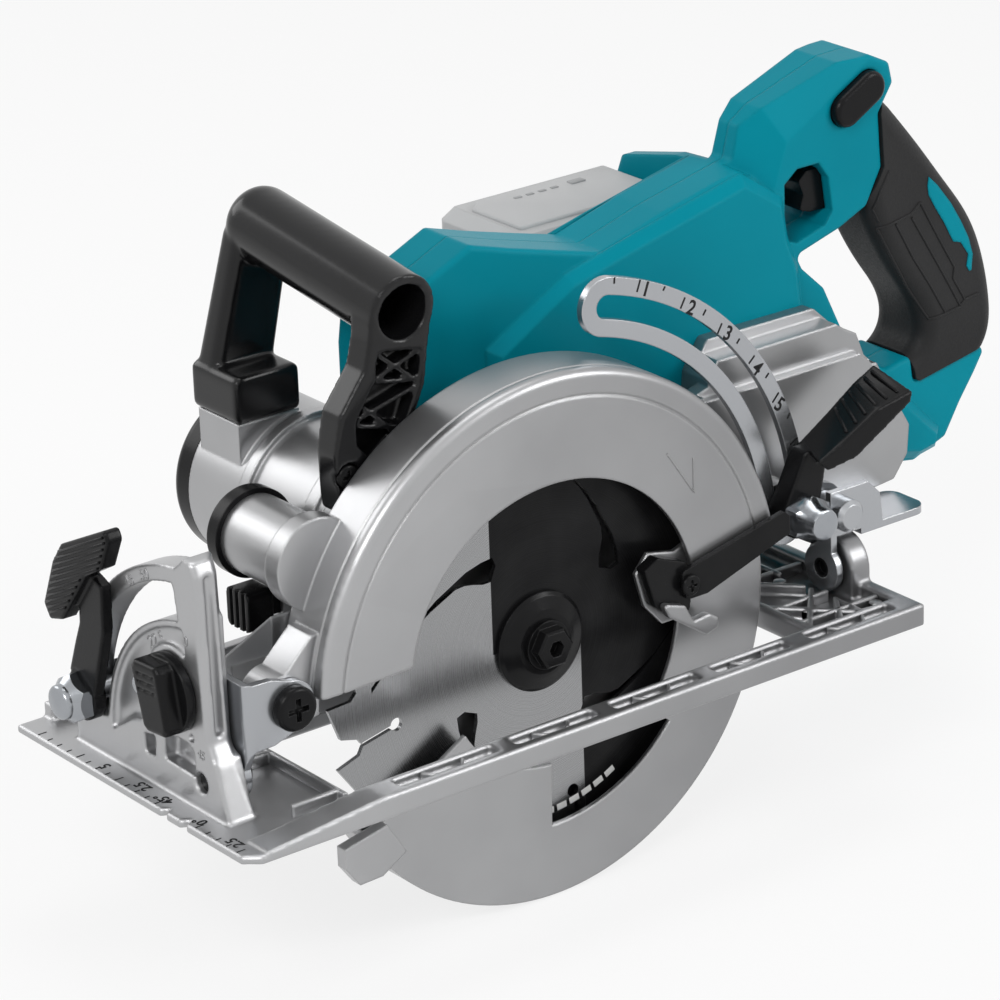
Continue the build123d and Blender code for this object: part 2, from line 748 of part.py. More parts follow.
with BuildPart() as lever_screw:
    rod_y(lever_screw_r, knob_y - bar_t, lower_near_y - 0.6, lever_screw_at)
    rod_y(4.2, knob_y - bar_t - 1.6, knob_y - bar_t, lever_screw_at)
    fillet(lever_screw.edges().group_by(Axis.Y)[0], 0.8)
    cross_y(knob_y - bar_t - 1.6, 2.4, 1.0, lever_screw_at)
save(lever_screw, "lever_screw")

# Motor drum, its end cover and the shaft lock

column_x = (-70.0, -43.0)
column_y = (84.0, 110.0)
column_z = motor_at[1] + drum_r + 1.0
lock_boss_y = (37.0, 49.0)
lock_z = (21.0, 34.0)
lock_face_x = -86.0
lock_travel = 4.0
lock_head_x = (lock_face_x - 16.0, lock_face_x - lock_travel - 1.0)
with BuildPart() as motor_housing:
    rod_y(drum_r, drum_y, drum_end_y, motor_at)
    rod_y(drum_r + 1.0, drum_y, drum_y + 6.0, motor_at)
    rod_y(drum_r + 2.0, 74.0, 79.0, motor_at)
    block(column_x, column_y, (motor_at[1], column_z))
    block((lock_face_x, -66.0), lock_boss_y, (lock_z[0] - 2.5, lock_z[1] + 2.5))
    block(
        (lock_face_x, lock_face_x + 13.0),
        (lock_boss_y[0] + 2.5 - seat_gap, lock_boss_y[1] - 2.5 + seat_gap),
        (lock_z[0] + 2.0 - seat_gap, lock_z[1] - 2.0 + seat_gap),
        Mode.SUBTRACT,
    )
    rod_y(drum_in_r, drum_y, drum_end_y, motor_at, Mode.SUBTRACT)
save(motor_housing, "motor_housing")

with BuildPart() as shaft_lock_button:
    block(lock_head_x, (lock_boss_y[0] - 1.0, lock_boss_y[1] + 1.0), (lock_z[0] - 1.0, lock_z[1] + 1.0))
    fillet(shaft_lock_button.edges().filter_by(Axis.X), 2.0)
    for groove in range(3):
        y = lock_boss_y[0] + 1.7 + 3.7 * groove
        groove_x = (lock_head_x[0], lock_head_x[0] + 1.0)
        block(groove_x, (y, y + 1.3), (lock_z[0] - 1.0, lock_z[1] + 1.0), Mode.SUBTRACT)
    block(
        (lock_head_x[1], lock_face_x + 8.0),
        (lock_boss_y[0] + 2.5, lock_boss_y[1] - 2.5),
        (lock_z[0] + 2.0, lock_z[1] - 2.0),
    )
save(shaft_lock_button, "shaft_lock_button")

cover_end_y = drum_end_y + end_cover_t
with BuildPart() as motor_end_cover:
    rod_y(drum_r, drum_end_y, cover_end_y, motor_at)
    fillet(motor_end_cover.edges().group_by(Axis.Y)[-1], 5.0)
    rod_y(drum_in_r, drum_end_y, cover_end_y - 3.0, motor_at, Mode.SUBTRACT)
    with BuildSketch(side(cover_end_y)) as vents:
        with Locations(motor_at):
            with PolarLocations(20.0, 12):
                SlotOverall(14.0, 3.0)
    extrude(vents.sketch, amount=4.0, mode=Mode.SUBTRACT)
save(motor_end_cover, "motor_end_cover")

with BuildPart() as bearing_plate:
    rod_y(drum_in_r, rear_bearing_y[0], rear_bearing_y[1], motor_at)
    rod_y(small_bearing_r, rear_bearing_y[0], rear_bearing_y[1], motor_at, Mode.SUBTRACT)
    with BuildSketch(side(rear_bearing_y[1])) as ports:
        with Locations(motor_at):
            with PolarLocations(20.0, 6):
                Circle(6.0)
    extrude(ports.sketch, amount=rear_bearing_y[1] - rear_bearing_y[0], mode=Mode.SUBTRACT)
save(bearing_plate, "bearing_plate")

# Front handle: bar between two legs that stand on the gear housing and on the motor column

bar_start = (-44.0, 14.0, 135.0)
bar_end = (-45.0, 108.0, 148.6)
bar_r = 14.0
bar_bore_r = 10.3
bar_bore_depth = 70.0
near_leg = [
    (-58.0, 136.0),
    (-30.5, 136.0),
    (-33.5, 120.0),
    (-35.5, 106.0),
    (-46.0, 84.0),
    (-56.0, 74.0),
    (-66.0, 66.0),
    (-75.0, 64.0),
    (-76.0, 88.0),
    (-73.0, 102.0),
    (-61.5, 117.0),
    (-59.0, 127.0),
]
channel = [
    (-55.5, 122.5),
    (-36.5, 119.0),
    (-38.5, 106.5),
    (-47.5, 88.0),
    (-58.0, 80.0),
    (-66.0, 90.0),
    (-66.5, 98.5),
    (-57.0, 112.0),
]
channel_ribs = [
    ((-55.5, 121.5), (-39.0, 108.0)),
    ((-36.5, 118.5), (-57.0, 112.0)),
    ((-57.5, 111.5), (-38.0, 107.5)),
    ((-63.0, 104.0), (-47.0, 88.5)),
    ((-39.5, 105.0), (-66.5, 98.5)),
    ((-66.5, 97.0), (-46.0, 91.5)),
]
channel_depth = 7.0
far_leg_foot = ((-71.0, -42.5), (98.0, 111.5), 92.0)
far_leg_head = ((-58.0, -32.5), (95.0, 107.5), 146.0)
near_leg_y = (14.0, 26.0)
far_leg_y = (98.0, column_y[1] + 1.5)
far_foot = [
    (column_x[0] - 1.5, column_z),
    (column_x[0] - 1.5, 97.0),
    (column_x[1] + 0.5, 97.0),
    (column_x[1] + 0.5, column_z),
]
bar_dir = tuple(end - start for start, end in zip(bar_start, bar_end))
bar_length = sqrt(sum(part**2 for part in bar_dir))
bar_plane = Plane(origin=bar_start, x_dir=(1, 0, 0), z_dir=bar_dir)
handle_screw_at = (-70.5, 79.0)
with BuildPart() as front_handle:
    with BuildSketch(bar_plane) as bar_section:
        Circle(bar_r)
    extrude(bar_section.sketch, amount=bar_length)
    fillet(front_handle.edges().group_by(Axis.Y)[-1], 9.0)
    plate_y(near_leg, near_leg_y[0], near_leg_y[1], corner=3.0)
    leg_ends = []
    for x_span, y_span, z in (far_leg_foot, far_leg_head):
        with BuildSketch(level(z)) as leg_end:
            with Locations(((x_span[0] + x_span[1]) / 2, (y_span[0] + y_span[1]) / 2)):
                RectangleRounded(x_span[1] - x_span[0], y_span[1] - y_span[0], 4.0)
        leg_ends.append(leg_end.sketch.face())
    loft(leg_ends)
    plate_y(far_foot, column_y[0] - 1.5, far_leg_y[1], corner=3.0)
    rod_y(drum_r, 0.0, cover_y, motor_at, Mode.SUBTRACT)
    rod_y(drum_r + 1.0, cover_y, drum_y + 6.0, motor_at, Mode.SUBTRACT)
    rod_y(tube_r, 0.0, cover_y + 4.0, tube_at, Mode.SUBTRACT)
    with BuildSketch(bar_plane.offset(-4.0)) as bar_bore:
        Circle(bar_bore_r)
    extrude(bar_bore.sketch, amount=bar_bore_depth, mode=Mode.SUBTRACT)
    plate_y(channel, near_leg_y[0], near_leg_y[0] + channel_depth, corner=1.5, mode=Mode.SUBTRACT)
    for start, end in channel_ribs:
        plate_y(strip(start, end, 1.8), near_leg_y[0] + 1.0, near_leg_y[0] + channel_depth + 1.0)
    rod_y(2.5, near_leg_y[0], near_leg_y[1], handle_screw_at, Mode.SUBTRACT)
    rod_y(5.0, near_leg_y[0], near_leg_y[0] + 2.6, handle_screw_at, Mode.SUBTRACT)
save(front_handle, "front_handle")

with BuildPart() as front_handle_screw:
    rod_y(2.5, near_leg_y[0] + 2.6, near_leg_y[1], handle_screw_at)
    rod_y(4.5, near_leg_y[0], near_leg_y[0] + 2.6, handle_screw_at)
    fillet(front_handle_screw.edges().group_by(Axis.Y)[0], 1.0)
    cross_y(near_leg_y[0], 2.6, 1.4, handle_screw_at)
save(front_handle_screw, "front_handle_screw")

# Handle housing: two hollow halves that meet in the plane of the handle

body_core_half = 15.0
body_outline = [
    (-31.0, 82.0),
    (-31.0, 104.0),
    (-29.0, 118.0),
    (-8.0, 131.0),
    (10.0, 139.0),
    (30.0, 133.0),
    (52.0, 127.0),
    (71.0, 122.0),
    (101.0, 130.5),
    (142.0, 139.5),
    (145.5, 153.0),
    (154.0, 158.5),
    (190.0, 170.0),
    (205.0, 170.5),
    (215.0, 165.5),
    (217.0, 157.0),
    (209.5, 146.0),
    (211.0, 124.0),
    (203.0, 109.5),
    (189.0, 103.5),
    (167.0, 97.5),
    (170.0, 91.5),
    (181.0, 81.0),
    (190.0, 62.0),
    (204.0, 44.0),
    (213.0, 39.0),
    (226.0, 41.5),
    (228.0, 30.0),
    (268.0, 37.0),
    (261.0, 26.0),
    (253.0, 15.0),
    (245.0, 2.0),
    (228.0, -4.0),
    (205.0, 0.0),
    (170.0, 2.0),
    (96.0, 6.0),
    (66.0, 30.0),
    (60.0, 72.0),
    (30.0, 80.0),
]
panel_outline = [
    (15.0, 84.0),
    (15.0, 97.0),
    (52.0, 118.0),
    (85.0, 126.0),
    (138.0, 138.0),
    (158.5, 124.0),
    (161.0, 108.0),
    (166.0, 95.0),
    (168.0, 78.0),
    (180.0, 60.0),
    (203.0, 39.0),
    (222.0, 26.0),
    (240.0, 8.0),
    (238.0, 0.0),
    (227.0, -2.0),
    (205.0, 3.0),
    (170.0, 5.0),
    (98.0, 9.0),
    (69.0, 32.0),
    (63.0, 74.0),
    (30.0, 83.0),
]
grip_rear = [
    (213.0, 151.13), (218.0, 146.0), (233.0, 128.0), (247.0, 110.0), (260.5, 91.0), (268.0, 72.0),
    (271.0, 57.0), (271.0, 44.0), (268.0, 37.0),
]
grip_front = [
    (226.0, 41.5), (232.0, 50.0), (230.0, 60.0), (221.0, 74.0), (211.0, 90.0), (203.0, 109.5),
]
grip_edge_r = 8.0
core_outline = [
    (206.0, 140.0),
    (212.0, 142.0),
    (227.0, 123.0),
    (241.5, 106.5),
    (254.5, 88.0),
    (262.5, 70.5),
    (265.5, 57.0),
    (265.0, 43.0),
    (260.0, 32.0),
    (254.0, 24.0),
    (234.0, 24.0),
    (231.0, 36.0),
    (238.5, 49.0),
    (236.0, 60.5),
    (225.5, 77.0),
    (214.5, 93.0),
    (205.0, 108.0),
]
pocket_outline = [
    (160.5, 110.0),
    (160.5, 128.0),
    (167.0, 133.0),
    (178.0, 133.0),
    (183.0, 126.0),
    (185.0, 112.0),
    (181.0, 107.0),
    (166.5, 103.0),
    (161.5, 105.0),
]
neck_facet = [(147.6, 50.0, 133.1), (156.5, 50.0, 158.0), (161.9, 45.0, 144.5)]
neck_reach = [(136.0, 140.0), (147.6, 133.5), (158.2, 121.2), (168.0, 150.0), (160.0, 176.0), (136.0, 176.0)]
head_facet = [(161.9, 45.0, 144.5), (190.0, 45.0, 161.0), (156.5, 50.5, 158.0)]
head_reach = [(148.0, 146.0), (161.9, 144.5), (190.0, 161.0), (214.0, 175.0), (150.0, 178.0)]
head_wall = 5.5
head_room = [
    (165.0, 140.0),
    (166.0, 152.0),
    (190.0, 164.0),
    (204.0, 165.5),
    (211.0, 161.5),
    (207.0, 146.0),
    (206.5, 126.0),
    (201.0, 114.0),
    (188.0, 109.0),
    (188.0, 136.0),
]
front_room = [
    (-27.0, 86.0),
    (-27.0, 104.0),
    (-25.0, 115.0),
    (10.0, 134.0),
    (52.0, 122.0),
    (71.0, 117.5),
    (101.0, 124.5),
    (137.0, 132.5),
    (154.0, 121.0),
    (156.0, 106.0),
    (161.5, 94.0),
    (176.0, 78.0),
    (185.0, 60.0),
    (199.0, 42.0),
    (220.0, 26.0),
    (254.0, 27.0),
    (240.0, 4.0),
    (228.0, 0.0),
    (205.0, 5.0),
    (98.0, 10.0),
    (71.0, 32.0),
    (65.0, 76.0),
    (30.0, 84.5),
]
grip_room = [
    (212.0, 136.0),
    (224.0, 121.0),
    (238.0, 104.0),
    (251.0, 86.0),
    (259.0, 69.0),
    (262.0, 56.0),
    (261.5, 44.0),
    (256.0, 33.0),
    (240.0, 30.0),
    (237.0, 37.0),
    (242.0, 49.0),
    (239.5, 61.5),
    (229.0, 79.0),
    (218.0, 95.0),
    (209.0, 110.0),
]
body_corner_r = 2.5
panel_chamfer = 4.2
lock_at = (197.0, 155.0)
lock_tilt = 29.0
lock_size = (27.0, 13.5)
trigger_half_w = 10.0
trigger_travel = 6.0
trigger_z = (112.0, 129.0)
grip_core_half = grip_half_w - grip_sleeve_t


def lock_shape(extra):
    with BuildSketch() as shape:
        with Locations(lock_at):
            SlotOverall(lock_size[0] + 2 * extra, lock_size[1] + 2 * extra, rotation=lock_tilt)
    return shape.sketch


def facet_cut(corners, reach, near):
    a, b, c = [Vector(*corner) for corner in corners]
    out = (b - a).cross(c - a).normalized()
    if out.Y > 0:
        out = -out
    points = []
    for x, z in reach:
        y = a.Y - (out.X * (x - a.X) + out.Z * (z - a.Z)) / out.Y
        points.append((x, y if near else 2 * body_mid_y - y, z))
    away = out if near else Vector(out.X, -out.Y, out.Z)
    facet = Face(Wire.make_polygon(points, close=True))
    extrude(facet, amount=24.0, dir=away, mode=Mode.SUBTRACT)


def housing_half(half, near):
    core = (body_mid_y - body_core_half, body_mid_y) if near else (body_mid_y, body_mid_y + body_core_half)
    panel = (body_near_y, core[0]) if near else (core[1], body_far_y)
    grip = (body_mid_y - grip_core_half, body_mid_y) if near else (body_mid_y, body_mid_y + grip_core_half)
    room = (core[0] + shell_wall, core[1]) if near else (core[0], core[1] - shell_wall)
    grip_in = (grip[0] + shell_wall, grip[1]) if near else (grip[0], grip[1] - shell_wall)
    plate_y(body_outline, core[0], core[1], corner=body_corner_r)
    fillet(half.edges().group_by(Axis.Y)[0 if near else -1], 2.0)
    facet_cut(neck_facet, neck_reach, near)
    facet_cut(head_facet, head_reach, near)
    plate_y(panel_outline, panel[0], panel[1])
    chamfer(half.faces().sort_by(Axis.Y)[0 if near else -1].edges(), panel_chamfer)
    plate_y(core_outline, grip[0], grip[1])
    head_in = (core[0] + head_wall, core[1]) if near else (core[0], core[1] - head_wall)
    plate_y(head_room, head_in[0], head_in[1], mode=Mode.SUBTRACT)
    plate_y(front_room, room[0], room[1], mode=Mode.SUBTRACT)
    plate_y(grip_room, grip_in[0], grip_in[1], mode=Mode.SUBTRACT)
    plate_y(pocket_outline, core[0] - 6.0, core[1] + 6.0, mode=Mode.SUBTRACT)
    slot = (body_mid_y - trigger_half_w - slide_fit, body_mid_y + trigger_half_w + slide_fit)
    block((180.0, 201.0), slot, (trigger_z[0] - slide_fit, trigger_z[1] + slide_fit), Mode.SUBTRACT)
    extrude(side(core[1] + 1.0) * lock_shape(seat_gap), amount=core[1] - core[0] + 2.0, mode=Mode.SUBTRACT)


with BuildPart() as housing_left:
    housing_half(housing_left, True)
save(housing_left, "housing_left")

with BuildPart() as housing_right:
    housing_half(housing_right, False)
save(housing_right, "housing_right")

with BuildPart() as grip_sleeve:
    with BuildSketch(side(body_mid_y + grip_half_w)) as grip_face:
        with BuildLine():
            rear_edge = Spline(*grip_rear[1:])
            Line(grip_rear[0], grip_rear[1])
            bottom_edge = Polyline(grip_rear[-1], (228.0, 30.0), grip_front[0])
            front_edge = Spline(*grip_front)
            Polyline(grip_front[-1], (211.0, 124.0), (209.5, 146.0), grip_rear[0])
        make_face()
    extrude(amount=2 * grip_half_w)
    long_edges = grip_sleeve.edges().filter_by(GeomType.BSPLINE)
    fillet(long_edges, grip_edge_r)
    plate_y(core_outline, body_mid_y - grip_core_half, body_mid_y + grip_core_half, mode=Mode.SUBTRACT)
    plate_y(
        body_outline,
        body_mid_y - grip_half_w,
        body_mid_y + grip_half_w,
        corner=body_corner_r,
        mode=Mode.SUBTRACT,
    )
save(grip_sleeve, "grip_sleeve")

trigger_outline = [
    (172.0, 125.5),
    (176.0, trigger_z[1]),
    (194.0, trigger_z[1]),
    (194.0, trigger_z[0]),
    (178.0, trigger_z[0]),
    (172.5, 113.5),
    (174.5, 119.5),
]
with BuildPart() as trigger:
    plate_y(trigger_outline, body_mid_y - trigger_half_w, body_mid_y + trigger_half_w, corner=1.5)
save(trigger, "trigger")

with BuildPart() as lock_off_button:
    extrude(side(body_mid_y + body_core_half + 4.0) * lock_shape(0.0), amount=2 * body_core_half + 8.0)
    fillet(lock_off_button.edges().group_by(Axis.Y)[0], 2.0)
    fillet(lock_off_button.edges().group_by(Axis.Y)[-1], 2.0)
save(lock_off_button, "lock_off_button")

switch_half_w = grip_core_half - shell_wall
with BuildPart() as switch_unit:
    block((221.0, 232.0), (body_mid_y - switch_half_w, body_mid_y + switch_half_w), (95.0, 108.0))
save(switch_unit, "switch_unit")

with BuildPart() as controller:
    block((-18.0, 46.0), (body_mid_y - 12.0, body_mid_y + 12.0), (88.0, 112.0))
save(controller, "controller")

# Battery seat on the far side of the housing and the battery that slides down over its rail

seat_y = body_far_y + 4.0
seat_x = (battery_centre_x - battery_size[0] / 2, battery_centre_x + battery_size[0] / 2)
rail_top_z = 100.0
stem_y = seat_y + rail_stem[1]
head_y = stem_y + rail_head[1]
wing_outline = [
    (body_far_y, 12.0), (126.0, 12.0), (134.0, 40.0), (135.5, 112.0), (131.0, 122.5), (98.0, 130.0),
    (body_far_y, 131.0),
]
with BuildPart() as battery_seat:
    block(seat_x, (body_far_y, seat_y), (12.0, 112.0))
    block(
        (battery_centre_x - rail_stem[0] / 2, battery_centre_x + rail_stem[0] / 2),
        (seat_y, stem_y),
        (battery_bottom_z + 8.0, rail_top_z),
    )
    block(
        (battery_centre_x - rail_head[0] / 2, battery_centre_x + rail_head[0] / 2),
        (stem_y, head_y),
        (battery_bottom_z + 8.0, rail_top_z),
    )
    plate_x(wing_outline, seat_x[1] + 1.0, seat_x[1] + 6.5, corner=3.0)
    block((seat_x[1] - 0.5, seat_x[1] + 2.0), (body_far_y, seat_y), (12.0, 112.0))
save(battery_seat, "battery_seat")

with BuildPart() as terminal_block:
    block((battery_centre_x - 12.0, battery_centre_x + 12.0), (head_y, head_y + 4.0), (30.0, 60.0))
save(terminal_block, "terminal_block")

battery_y = (seat_y + face_gap, seat_y + battery_size[1])
battery_x = (battery_centre_x - battery_size[0] / 2, battery_centre_x + battery_size[0] / 2)
battery_split_z = battery_bottom_z + 84.0
battery_top_z = battery_bottom_z + battery_size[2]


def battery_slot(z_low, z_high):
    half_stem = rail_stem[0] / 2 + slide_fit
    half_head = rail_head[0] / 2 + slide_fit
    block((battery_centre_x - half_stem, battery_centre_x + half_stem), (seat_y, stem_y), (z_low, z_high),
          Mode.SUBTRACT)
    block((battery_centre_x - half_head, battery_centre_x + half_head),
          (stem_y - slide_fit, head_y + 4.0 + slide_fit), (z_low, z_high), Mode.SUBTRACT)


with BuildPart() as battery_case:
    block(battery_x, battery_y, (battery_bottom_z, battery_split_z))
    fillet(battery_case.edges().filter_by(Axis.Z), 6.0)
    battery_slot(battery_bottom_z, battery_split_z)
save(battery_case, "battery_case")

release_x = (battery_centre_x - 14.0, battery_centre_x + 14.0)
release_z = (battery_top_z - 16.0, battery_top_z - 3.0)
with BuildPart() as battery_cover:
    block(battery_x, battery_y, (battery_split_z, battery_top_z))
    fillet(battery_cover.edges().filter_by(Axis.Z), 6.0)
    chamfer(battery_cover.edges().group_by(Axis.Z)[-1], 5.0)
    battery_slot(battery_split_z, rail_top_z + slide_fit)
    block(
        (release_x[0] - seat_gap, release_x[1] + seat_gap),
        (battery_y[1] - 9.0, battery_y[1]),
        (release_z[0] - seat_gap, release_z[1] + seat_gap),
        Mode.SUBTRACT,
    )
save(battery_cover, "battery_cover")

with BuildPart() as battery_release:
    block(release_x, (battery_y[1] - 5.0, battery_y[1] - 0.5), release_z)
    fillet(battery_release.edges().filter_by(Axis.Y), 1.5)
save(battery_release, "battery_release")

# Depth carriage: sheet brackets in front and behind, hinge pins and the bevel clamp bolt

ear_y = (pivot_boss_y[0] - face_gap - sheet_t, pivot_boss_y[0] - face_gap)
bracket_x = (quadrant_x + quadrant_t + plate_gap, quadrant_x + quadrant_t + plate_gap + sheet_t)
bevel_bolt_at = polar(bevel_axis, bevel_bolt_reach, bevel_bolt_angle)
ear_outline = [
    (bracket_x[0], -1.5), (bracket_x[0], 24.5), (depth_pivot[0] - 8.0, 24.0), (depth_pivot[0], 21.3),
    (depth_pivot[0], 1.7), (depth_pivot[0] - 8.0, -1.0),
]
arm_section = [
    (ear_y[0], -1.5), (ear_y[0], 24.5), (8.0, 24.5), (30.0, 14.0), (bevel_bolt_at[0], 9.6),
    (bevel_bolt_at[0], -8.4), (12.0, -14.0), (-4.0, -12.5),
]
with BuildPart() as front_bracket:
    plate_y(ear_outline, ear_y[0], ear_y[1])
    rod_y(9.8, ear_y[0], ear_y[1], depth_pivot)
    plate_x(arm_section, bracket_x[0], bracket_x[1])
    bend = front_bracket.edges().filter_by(Axis.Z).group_by(Axis.X)[0].group_by(Axis.Y)[0]
    fillet(bend, sheet_t + 0.5)
    rod_x(9.0, bracket_x[0], bracket_x[1], bevel_bolt_at)
    rod_x(9.5, bracket_x[0], bracket_x[1], bevel_axis)
    rod_y(pivot_screw_r + run_fit, ear_y[0], ear_y[1], depth_pivot, Mode.SUBTRACT)
    rod_x(bevel_bolt_r, bracket_x[0], bracket_x[1], bevel_bolt_at, Mode.SUBTRACT)
    rod_x(bevel_pin_r, bracket_x[0], bracket_x[1], bevel_axis, Mode.SUBTRACT)
save(front_bracket, "front_bracket")

rear_eye_x = (rivet_at[0] - 6.0, rivet_at[0] - 6.0 + sheet_t)
step_x = sole_rear_x + 1.5
rear_boss_x = (rear_eye_x[1] + 1.5, sole_rear_x)
rear_ear_y = (-3.0, -3.0 + sheet_t)
rear_ear = [
    (rear_eye_x[0], -5.0), (rear_eye_x[1], -5.0), (rear_eye_x[1], 1.5), (step_x, 1.5), (step_x, -1.0),
    (step_x + 11.5, -1.0), (step_x + 9.5, 14.0), (step_x + 3.5, 20.0), (rear_eye_x[0], 20.0),
]
rivet_r = 4.0
with BuildPart() as rear_bracket:
    plate_y(rear_ear, rear_ear_y[0], rear_ear_y[1])
    rod_x(9.5, rear_eye_x[0], rear_eye_x[1], bevel_axis)
    block(rear_eye_x, (rear_ear_y[0], 7.0), (bevel_axis[1], 3.5))
    block((step_x, step_x + 34.5), (rear_ear_y[0], 19.0), (-1.0, 2.0))
    fillet(rear_bracket.edges().filter_by(Axis.Z).group_by(Axis.X)[-1], 6.0)
    rod_y(rivet_r, rear_ear_y[0], rear_ear_y[1], rivet_at, Mode.SUBTRACT)
    rod_x(bevel_pin_r, rear_eye_x[0], rear_eye_x[1], bevel_axis, Mode.SUBTRACT)
save(rear_bracket, "rear_bracket")

with BuildPart() as front_pin:
    rod_x(bevel_pin_r, quadrant_x + 2.5, bracket_x[1], bevel_axis)
    rod_x(6.0, bracket_x[1], bracket_x[1] + 2.5, bevel_axis)
save(front_pin, "front_pin")

with BuildPart() as rear_pin:
    rod_x(bevel_pin_r, rear_eye_x[0], rear_boss_x[1] + 1.0, bevel_axis)
    rod_x(bevel_pin_r - 1.0, rear_eye_x[0], rear_eye_x[0] + 2.0, bevel_axis, Mode.SUBTRACT)
save(rear_pin, "rear_pin")

nut_taper = 2.8
lever_hub_x = (quadrant_x - face_gap - 5.5, quadrant_x - face_gap)
bevel_nut_x = (lever_hub_x[0] - 10.0, lever_hub_x[0])
with BuildPart() as bevel_clamp_bolt:
    rod_x(bevel_bolt_r, bevel_nut_x[0] + 1.0, bracket_x[1], bevel_bolt_at)
    hex_x(13.0, bracket_x[1], bracket_x[1] + 5.0, bevel_bolt_at)
save(bevel_clamp_bolt, "bevel_clamp_bolt")

link_end_y = link_y + link_t
with BuildPart() as depth_rivet:
    rod_y(rivet_r, rear_ear_y[0], link_end_y + face_gap, rivet_at)
    rod_y(6.0, rear_ear_y[1], link_y - face_gap, rivet_at)
    rod_y(6.5, link_end_y + face_gap, link_end_y + face_gap + 1.6, rivet_at)
    rod_y(6.5, rear_ear_y[0] - 6.0, rear_ear_y[0], rivet_at)
    chamfer(depth_rivet.edges().group_by(Axis.Y)[0], 1.6)
save(depth_rivet, "depth_rivet")

# Depth guide: slotted arc, its slot drawn through the clamp bolt's path over the depth range


def link_path(angle):
    seen = turn(clamp_at, depth_pivot, angle)
    return turn(seen, rivet_at, link_ratio * angle)


slot_arc = ThreePointArc(link_path(3.0), link_path(depth_range / 2), link_path(depth_range - 3.0))
slot_centre = slot_arc.arc_center
slot_reach = slot_arc.radius
slot_from = bearing_angle((slot_centre.X, slot_centre.Y), link_path(-1.0))
slot_to = bearing_angle((slot_centre.X, slot_centre.Y), link_path(depth_range + 1.0))
guide_arc = CenterArc((slot_centre.X, slot_centre.Y), slot_reach, slot_from, slot_to - slot_from)
with BuildPart() as depth_guide:
    with BuildSketch(side(link_end_y)) as link_face:
        with Locations(rivet_at):
            Circle(9.0)
        with Locations(clamp_at):
            Circle(link_half_w)
        make_hull()
        SlotArc(guide_arc, 2 * link_half_w)
        SlotArc(guide_arc, 2 * (clamp_r + link_slot_fit), mode=Mode.SUBTRACT)
        with Locations(rivet_at):
            Circle(rivet_r + run_fit, mode=Mode.SUBTRACT)
    extrude(amount=link_t)
save(depth_guide, "depth_guide")

# Depth clamp: bolt on the housing, cam lever and hexagon nut

lever_hub_y = (-2.0, link_y - seat_gap)
nut_y = (lever_hub_y[0] - 14.0, lever_hub_y[0])
with BuildPart() as depth_clamp_bolt:
    rod_y(clamp_r, nut_y[0] + 1.0, block_near_y + 12.0, clamp_at)
save(depth_clamp_bolt, "depth_clamp_bolt")

pad_near = [
    (-0.5, 24.6), (4.6, 19.8), (18.8, 21.6), (31.6, 28.6), (46.6, 37.0), (47.6, 41.4), (30.0, 38.4),
    (12.0, 29.6),
]
pad_far = [
    (6.5, 26.8), (9.6, 21.4), (24.0, 26.4), (36.0, 33.6), (48.4, 42.0), (43.4, 48.4), (32.6, 43.2),
    (21.0, 35.6),
]
pad_y = (lever_hub_y[0] - 10.0, lever_hub_y[1] - 2.0)
depth_arm = [
    (-8.6, 4.0), (-3.0, 15.0), (2.0, 25.0), (13.5, 27.0), (11.5, 13.5), (10.0, 7.0), (9.0, -2.5),
]
with BuildPart() as depth_lever:
    rod_y(9.5, lever_hub_y[0], lever_hub_y[1], clamp_at)
    plate_y(moved(depth_arm, clamp_at), lever_hub_y[0], lever_hub_y[1] - 1.0, corner=2.0)
    for edge_y, points in ((pad_y[0], pad_near), (pad_y[1], pad_far)):
        with BuildSketch(side(edge_y)):
            with BuildLine():
                Polyline(*moved(points, clamp_at), close=True)
            make_face()
    loft(ruled=True)
    rod_y(12.0, pad_y[0], lever_hub_y[0], clamp_at, Mode.SUBTRACT)
    rod_y(clamp_r + run_fit, lever_hub_y[0], lever_hub_y[1], clamp_at, Mode.SUBTRACT)
save(depth_lever, "depth_lever")

with BuildPart() as depth_nut:
    hex_y(17.0, nut_y[0], nut_y[1], clamp_at)
    chamfer(depth_nut.faces().sort_by(Axis.Y)[0].edges(), nut_taper)
    rod_y(clamp_r + run_fit, nut_y[0] + 1.0 - face_gap, nut_y[1], clamp_at, Mode.SUBTRACT)
save(depth_nut, "depth_nut")

# Bevel clamp: lever with ribbed thumb pad and hexagon nut

bevel_pad = [
    (70.0, 60.6), (40.0, 75.0), (38.0, 71.0), (43.8, 58.9), (55.0, 52.7), (72.5, 30.4), (81.0, 28.0),
    (84.5, 33.4), (76.6, 51.9),
]
bevel_arm = [
    (77.0, 6.0), (71.0, 21.0), (67.0, 30.0), (65.5, 46.0), (58.0, 52.0), (50.0, 49.0), (51.0, 31.0),
    (56.5, 14.0), (60.5, 2.0),
]
with BuildPart() as bevel_lever:
    rod_x(9.5, lever_hub_x[0], lever_hub_x[1], bevel_bolt_at)
    plate_x(bevel_arm, lever_hub_x[0] - 0.5, lever_hub_x[1] - 1.5, corner=1.5)
    plate_x(bevel_pad, lever_hub_x[0] - 4.0, lever_hub_x[1] - 3.0, corner=1.5)
    rod_x(10.5, lever_hub_x[0] - 4.5, lever_hub_x[0], bevel_bolt_at, Mode.SUBTRACT)
    rod_x(bevel_bolt_r + run_fit, lever_hub_x[0], lever_hub_x[1], bevel_bolt_at, Mode.SUBTRACT)
save(bevel_lever, "bevel_lever")

